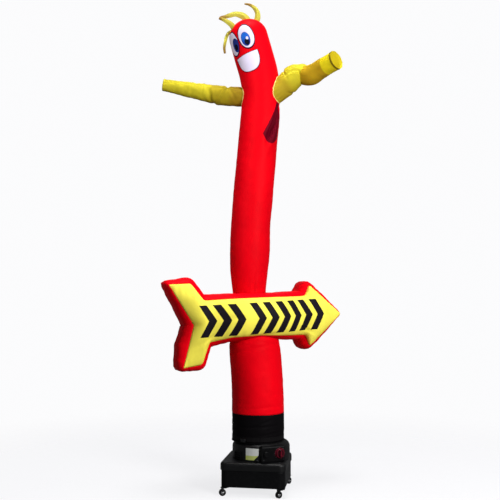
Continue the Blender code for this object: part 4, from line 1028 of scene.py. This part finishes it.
class DANCER_OT_stage(bpy.types.Operator):
    """Adds the camera, the soft lights, the even light, the pale floor and the backdrop."""

    bl_idname = "dancer.stage"
    bl_label = "Stage"

    def execute(self, context):
        scene, settings = context.scene, context.scene.air_dancer_stage
        camera = placed("camera", bpy.data.cameras.new("camera"))
        camera.data.lens, camera.data.sensor_width = settings.lens, 36.0
        camera.location = CAMERA_PLACE
        camera.rotation_euler = (pi / 2 + CAMERA_UP, 0, CAMERA_ROUND)
        scene.camera = camera
        for lamp in LAMPS:
            light = bpy.data.lights.new(lamp.name, "AREA")
            light.energy, light.size = getattr(settings, lamp.power), lamp.size
            light.spread = radians(lamp.spread)
            thing = placed(lamp.name, light)
            thing.location = lamp.place
            x, y, z = np.array(lamp.place) - np.array(lamp.aim)
            thing.rotation_euler = (pi / 2 - np.arctan2(z, np.hypot(x, y)), 0, np.arctan2(y, x) + pi / 2)
        world = bpy.data.worlds.new("even_light")
        scene.world = world
        world.use_nodes = True
        light = world.node_tree.nodes["Background"].inputs
        light["Color"].default_value, light["Strength"].default_value = EVEN_LIGHT, settings.ambient
        scene.view_settings.view_transform = "Standard"
        self.floor()
        self.backdrop()
        return {"FINISHED"}

    def floor(self):
        """A pale disc that fades out to the backdrop; it takes shadows and lights nothing."""
        finish = Finish("floor_pale", 0.7)
        finish.fix({"Base Color": FLOOR_COLOUR, "Emission Color": FLOOR_GLOW,
                    "Emission Strength": FLOOR_GLOW_STRENGTH})
        x, y, _ = finish.parts(finish.place())
        shader = Value(finish, finish.shader.outputs[0])
        sockets = {0: (x * x + y * y).math("SQRT").step(*FLOOR_FADE),
                   1: finish.node("ShaderNodeBsdfTransparent"), 2: shader}
        blend = finish.node("ShaderNodeMixShader", inputs=sockets)
        finish.tree.links.new(blend.socket, finish.tree.nodes["Material Output"].inputs["Surface"])
        turn = turns(FLOOR_SIDES)
        rim = np.column_stack([np.cos(turn), np.sin(turn), 0 * turn]) * FLOOR_RADIUS
        self.show("floor", bare_mesh("floor", rim, [list(range(FLOOR_SIDES))]), finish)

    def backdrop(self):
        """A white sphere all round, which is seen but lights nothing."""
        finish = Finish("backdrop_white", 1.0, specular=0.0)
        finish.fix({"Base Color": (0, 0, 0, 1), "Emission Color": BACKDROP_GLOW,
                    "Emission Strength": 1.0})
        turn = np.arange(BACKDROP_SIDES + 1) * 2 * pi / BACKDROP_SIDES
        turn, tilt = np.meshgrid(turn, np.linspace(-pi / 2, pi / 2, BACKDROP_SIDES // 2 + 1))
        grid = np.stack([np.cos(tilt) * np.cos(turn), np.cos(tilt) * np.sin(turn), np.sin(tilt)], axis=-1)
        mesh = grid_mesh("backdrop", BACKDROP_RADIUS * grid, np.zeros((*grid.shape[:2], 2)))
        self.show("backdrop", mesh, finish).visible_shadow = False

    def show(self, name, mesh, finish):
        mesh.materials.append(finish.material)
        thing = placed(name, mesh)
        thing.visible_diffuse = thing.visible_glossy = False
        return thing


PIPING_COLOUR, INSIDE_PAINTED_GLOW = (0.80, 0.62, 0.20), (0.80, 0.62, 0.02, 1)
UPPER_PAINTED_SHADE = 0.83                       # painted shade: the upper sleeve's red is the lower one's painted darker by this much


class DANCER_OT_sleeves(bpy.types.Operator):
    """Sews the red sleeve in its two lengths and the two arms."""

    bl_idname = "dancer.sleeves"
    bl_label = "Sleeves and arms"

    def execute(self, context):
        settings = context.scene.air_dancer_cloth
        red = nylon("red_nylon_cloth", settings.red, 0.0012)
        # the arms' inner cloth glows: painted light standing in for light that comes through the nylon
        inside = nylon("arm_inside_cloth", settings.yellow, 0.0008)
        glow = inside.node_tree.nodes["Principled BSDF"].inputs
        glow["Emission Color"].default_value, glow["Emission Strength"].default_value = INSIDE_PAINTED_GLOW, 0.45
        nylon("piping_cream", PIPING_COLOUR, 0.0004)
        sleeve_cloth("sleeve_lower_cloth", LOWER_SLEEVE, (11, 12, 13), LOWER_CREASES, red,
                     ["sleeve_lower"], (0, -1))
        # the upper sleeve's red is painted darker as shade, and the right arm's shadow is painted on it
        painted_darker = tuple(part * UPPER_PAINTED_SHADE for part in settings.red)
        painted_shade_red = nylon("red_nylon_tucked", painted_darker, 0.0012, printed=painted_arm_shadow)
        sleeve_cloth("sleeve_upper_cloth", UPPER_SLEEVE, (21, 22, 23), UPPER_CREASES, painted_shade_red,
                     ["sleeve_upper"], (0,), HEAD_DOME)
        for side, table, seed in (("left", LEFT_ARM, 31), ("right", RIGHT_ARM, 41)):
            yellow = nylon(f"arm_{side}_nylon", settings.yellow, 0.0011, shade=0.80, printed=arm_painted_shade(side))
            arm_cloth(side, table, yellow, seed)
        return {"FINISHED"}


class DANCER_OT_face(bpy.types.Operator):
    """Sews the eyes, the mouth and the streamers of hair on the head."""

    bl_idname = "dancer.face"
    bl_label = "Face and hair"

    def execute(self, context):
        settings = context.scene.air_dancer_cloth
        for name, patch in FACE.items():
            printed = mouth_print if patch.flat_top else eye_print(name)
            white = nylon(f"{name}_cloth", settings.white, 0.0006, printed=printed)
            face_cloth(f"{name}_patch", patch, white)
        hair = nylon("hair_cloth", HAIR_COLOUR, 0.0012, printed=hair_print)
        for k, (name, table) in enumerate(HAIR.items()):
            hair_cloth(f"hair_{name}_streamer", table, k * 1.7, hair)
        return {"FINISHED"}


class DANCER_OT_arrow(bpy.types.Operator):
    """Sews the inflated arrow: two yellow panels and the red band between them."""

    bl_idname = "dancer.arrow"
    bl_label = "Arrow"

    def execute(self, context):
        settings = context.scene.air_dancer_cloth
        front = nylon("arrow_front_cloth", settings.arrow_yellow, 0.0014, printed=chevrons)
        back = nylon("arrow_back_cloth", settings.arrow_yellow, 0.0014)
        band_red = nylon("arrow_band_cloth", settings.red, 0.0022, shade=0.80)
        for name, side, material in (("arrow_front", 1, front), ("arrow_back", -1, back)):
            grid, along, up = panel_grid(side, 5 + side)
            flat = np.stack([along, up], axis=-1)
            if side < 0:
                grid, flat = grid[::-1], flat[::-1]
            mesh = grid_mesh(f"{name}_panel", on_outlet(grid), flat)
            thing = settle(f"{name}_panel", mesh, material, [name])
            thicken(thing, settings.thickness)
        rim_along, rim_up = rim_of(along), rim_of(up)       # either panel's: the two have one outline
        bulge = arrow_columns()[:, 4]
        nose = np.full(ARROW_ROWS - 1, bulge[-1])
        down = closer_at_edges(np.linspace(1, -1, ARROW_ROWS + 1)[1:-1])
        notch = np.interp(down, *np.transpose(NOTCH_BULGE))
        grid, flat = arrow_band(rim_along, rim_up, np.concatenate([bulge, nose, bulge[::-1], notch]), 61)
        mesh = grid_mesh("arrow_band_strip", on_outlet(grid[::-1]), flat[::-1], wrap=True)
        band = settle("arrow_band_strip", mesh, band_red, ["arrow_band"])
        thicken(band, settings.thickness)
        cut_by(band, [cutter("cut_low", LOWER_SLEEVE, (0, -1)), cutter("cut_high", UPPER_SLEEVE, (0,))])
        return {"FINISHED"}


class DANCER_OT_collar(bpy.types.Operator):
    """Sews the black collar and belts it on the outlet."""

    bl_idname = "dancer.collar"
    bl_label = "Collar and strap"

    def execute(self, context):
        settings = context.scene.air_dancer_cloth
        black = nylon("black_nylon_cloth", settings.black, 0.0016, 0.6)
        sleeve_cloth("collar_cloth", COLLAR, (51, 52, 53), COLLAR_CREASES, black,
                     ["collar"], (0, -1))
        webbing = nylon("webbing_black", (0.0060, 0.0055, 0.0060), 0.0004, 0.5)
        frame["nodes"]["collar_strap"].data.materials[0] = webbing
        return {"FINISHED"}


# ------------------------------------------------------------------ fittings of the blower
DRUM = np.array((0.082, 0.003, 0.0))      # the drum's axis
POD_ANGLE, POD_FACE, KNOB_ACROSS, KNOB_Z = radians(-58.5), 0.2703, 0.056, 0.362
PLATE_Z, SCREW_ACROSS, SCREW_UP = 0.3556, 0.089, 0.045
LID_MIDDLE, LID_TOP, LID_SCREW = np.array((0.0455, 0.003)), 0.287, 0.222
LUG_ANGLES, LUG_TOP, LUG_BOLT_RADIUS = (-89, 150, 82, 40), 0.3093, 0.2625
WHEEL_HALF_WIDTH, FORK_HALF_WIDTH = 0.011, 0.0147
SCREW = (0.0, 0.0006), (0.0021, 0.0006), (0.0023, 0.0019), (0.0034, 0.0018), (0.0043, 0.0012), (0.0045, 0.0)
BOLT = (0.0, 0.0046), (0.0040, 0.0046), (0.0052, 0.0040), (0.0054, 0.0), (0.0075, 0.0), (0.0075, -0.0009)
DIAL = (0.0385, 0.0002), (0.0390, 0.0014), (0.0440, 0.0014), (0.0448, 0.0002)
TICK = (0.0, 0.0009), (1.0, 0.0009), (1.0, 0.0)
TICK_RADIUS, TICK_SIZE = 0.0480, (0.0026, 0.0008)
HUB = (0.0, 0.0009), (0.0060, 0.0009), (0.0068, 0.0005), (0.0125, 0.0007), (0.0140, 0.0)
NUT = (0.0, 0.0042), (0.0052, 0.0042), (0.0064, 0.0032), (0.0070, 0.0)


def turned_pieces(name, profile, sides, places, material, body=STAND):
    """Copies of a turned shape, one at each place: r(t) (cos u side + sin u over) + h(t) out, where a place
    is its middle and the three directions. Coincident points are merged and the normals made to face
    outwards."""
    radius, height = np.transpose(profile)
    turn = turns(sides) + pi / sides
    flat = np.stack([radius[:, None] * np.cos(turn), radius[:, None] * np.sin(turn),
                     np.broadcast_to(height[:, None], (len(radius), sides))], axis=-1).reshape(-1, 3)
    points = np.stack([flat @ np.array(place[1:]) + place[0] for place in places])
    quads = cells(numbered(len(radius), sides)).reshape(-1, 4)
    faces = (quads[None] + np.arange(len(places))[:, None, None] * len(flat)).reshape(-1, 4)
    mesh = bare_mesh(name, points.reshape(-1, 3), faces.tolist())
    heal(mesh, 0.00001)
    mesh.shade_smooth()
    return settle(name, mesh, material, body=body)


def on_pod(across, up, reach=1.0, width=1.0, turn=0.0):
    """A place on the control pod's faceplate; its own side and over directions are scaled and turned."""
    out = np.array((cos(POD_ANGLE), sin(POD_ANGLE), 0.0))
    right, high = np.array((-sin(POD_ANGLE), cos(POD_ANGLE), 0.0)), np.array((0.0, 0.0, 1.0))
    side, over = cos(turn) * right + sin(turn) * high, cos(turn) * high - sin(turn) * right
    return DRUM + out * POD_FACE + right * across + high * up, side * reach, over * width, out


TAG_LOWER, KNOB_DARK = (0.34, 0.38, 0.10), (0.016, 0.0014, 0.0030)
GRIP_HALF_WIDTH, GRIP_HALF_LENGTH, KNOB_FACE = 0.010, 0.024, (0.0310, 0.0295)


def tag_print(finish, base):
    """A blank tag in two fields: pale grey above and a pale yellow-green below."""
    _, _, z = finish.parts(finish.place())
    lower = (z + finish.noise(finish.place(), 60.0) * 0.004).step(0.345, 0.342)
    return finish.mix(base, TAG_LOWER, lower)


def knob_print(finish, base):
    """The knob's face is nearly black round its grip, out to a ring of the knob's own colour."""
    x, y, z = finish.parts(finish.place())
    right = -sin(POD_ANGLE), cos(POD_ANGLE)
    across = (x - DRUM[0]) * right[0] + (y - DRUM[1]) * right[1] - KNOB_ACROSS
    up = z - KNOB_Z
    face = (across * across + up * up).math("SQRT").step(*KNOB_FACE)
    beside = (across * across / GRIP_HALF_WIDTH ** 2 + up * up / GRIP_HALF_LENGTH ** 2).step(0.9, 1.1)
    return finish.mix(base, KNOB_DARK, face * beside)


class DANCER_OT_blower(bpy.types.Operator):
    """Finishes the blower, its base and its casters."""

    bl_idname = "dancer.blower"
    bl_label = "Blower"

    def execute(self, context):
        settings = context.scene.air_dancer_blower
        housing = moulded("housing_plastic", settings.housing, 0.44)
        lid = moulded("lid_plastic", settings.housing, 0.46, specular=0.20)
        trim = moulded("trim_plastic", settings.trim, 0.36)
        knob = moulded("knob_plastic", settings.knob, 0.34, coat=0.1, marked=knob_print)
        tag = moulded("tag_film", settings.tag, 0.35, marked=tag_print)
        tread = moulded("tread_rubber", settings.tread, 0.55)
        dark = plated("black_steel", (0.030, 0.030, 0.032), (0.055, 0.055, 0.058))
        bright = plated("zinc_steel", (0.52, 0.52, 0.54), (0.70, 0.70, 0.71))
        self.details(knob, dark, bright)
        finishes = {"base_tray": housing, "control_pod": housing, "base_lid": lid, "fan_drum": lid,
                    "caster_plate": dark, "caster_fork": dark, "strap_buckle": dark, "caster_wheel": tread,
                    "rotary_knob": knob, "blank_tag": tag}
        for node, thing in frame["nodes"].items():
            if thing.hide_render or node == "collar_strap":
                continue
            named = [finish for start, finish in finishes.items() if node.startswith(start)]
            for k in range(len(thing.data.materials)):
                thing.data.materials[k] = (named or [trim])[0]
        return {"FINISHED"}

    def details(self, knob, dark, bright):
        """The screws, the bolts, the switch's ring and marks, and the wheels' hubs and nuts."""
        flat, upward = np.eye(3), np.array((0.0, 0.0, 1.0))
        corners = [(x, y) for x in (-1, 1) for y in (-1, 1)]
        screws = [on_pod(x * SCREW_ACROSS, PLATE_Z + y * SCREW_UP) for x, y in corners]
        lid = [((*(LID_MIDDLE + LID_SCREW * np.array(corner)), LID_TOP), *flat) for corner in corners]
        lugs = [(DRUM + (LUG_BOLT_RADIUS * cos(a), LUG_BOLT_RADIUS * sin(a), LUG_TOP), *flat)
                for a in map(radians, LUG_ANGLES)]
        marks = [on_pod(KNOB_ACROSS + TICK_RADIUS * cos(a), KNOB_Z + TICK_RADIUS * sin(a), *TICK_SIZE, a)
                 for a in np.radians(np.arange(-45, 226, 45))]
        turned_pieces("faceplate_screws", SCREW, 24, screws, dark)
        turned_pieces("lid_screws", SCREW, 24, lid, dark)
        turned_pieces("lug_bolts", BOLT, 6, lugs, dark)
        turned_pieces("dial_ring", DIAL, 64, [on_pod(KNOB_ACROSS, KNOB_Z)], knob)
        turned_pieces("dial_marks", TICK, 4, marks, bright)
        rolls = {joint["name"]: joint for joint in frame["record"]["behaviour"]["joints"]}
        for corner in ("front_left", "front_right", "back_left", "back_right"):
            low, high = (np.array(end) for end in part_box(f"caster_wheel_{corner}"))
            axle = np.array(rolls[f"roll_{corner}"]["axis"])
            level = np.cross(axle, upward)
            for name, shape, sides, reach, body in (("hub", HUB, 32, WHEEL_HALF_WIDTH, "wheel"),
                                                    ("nuts", NUT, 6, FORK_HALF_WIDTH, "caster")):
                ends = [((low + high) / 2 + way * axle * reach, level, way * upward, way * axle)
                        for way in (-1, 1)]
                turned_pieces(f"{name}_{corner}", shape, sides, ends, bright, f"{body}_{corner}")


class DANCER_PT_panel(bpy.types.Panel):
    """Lists the steps and the settings."""

    bl_idname = "DANCER_PT_panel"
    bl_label = "Air Dancer"
    bl_space_type = "VIEW_3D"
    bl_region_type = "UI"
    bl_category = "Air Dancer"

    def draw(self, context):
        for operator in OPERATORS:
            self.layout.operator(operator.bl_idname)
        for settings in GROUPS:
            group, box = getattr(context.scene, settings), self.layout.box()
            for name in group.__annotations__:
                box.prop(group, name)


OPERATORS = (DANCER_OT_stage, DANCER_OT_sleeves, DANCER_OT_face, DANCER_OT_arrow, DANCER_OT_collar,
             DANCER_OT_blower)
GROUPS = {"air_dancer_cloth": ClothSettings, "air_dancer_blower": BlowerSettings,
          "air_dancer_stage": StageSettings}
CLASSES = (*GROUPS.values(), *OPERATORS, DANCER_PT_panel)


def register():
    for kind in CLASSES:
        bpy.utils.register_class(kind)
    for name, group in GROUPS.items():
        setattr(bpy.types.Scene, name, PointerProperty(type=group))


def unregister():
    for name in GROUPS:
        delattr(bpy.types.Scene, name)
    for kind in reversed(CLASSES):
        bpy.utils.unregister_class(kind)


def main():
    register()
    bpy.ops.dancer.stage()
    bpy.ops.dancer.sleeves()
    bpy.ops.dancer.face()
    bpy.ops.dancer.arrow()
    bpy.ops.dancer.collar()
    bpy.ops.dancer.blower()


if __name__ == "__main__":
    main()
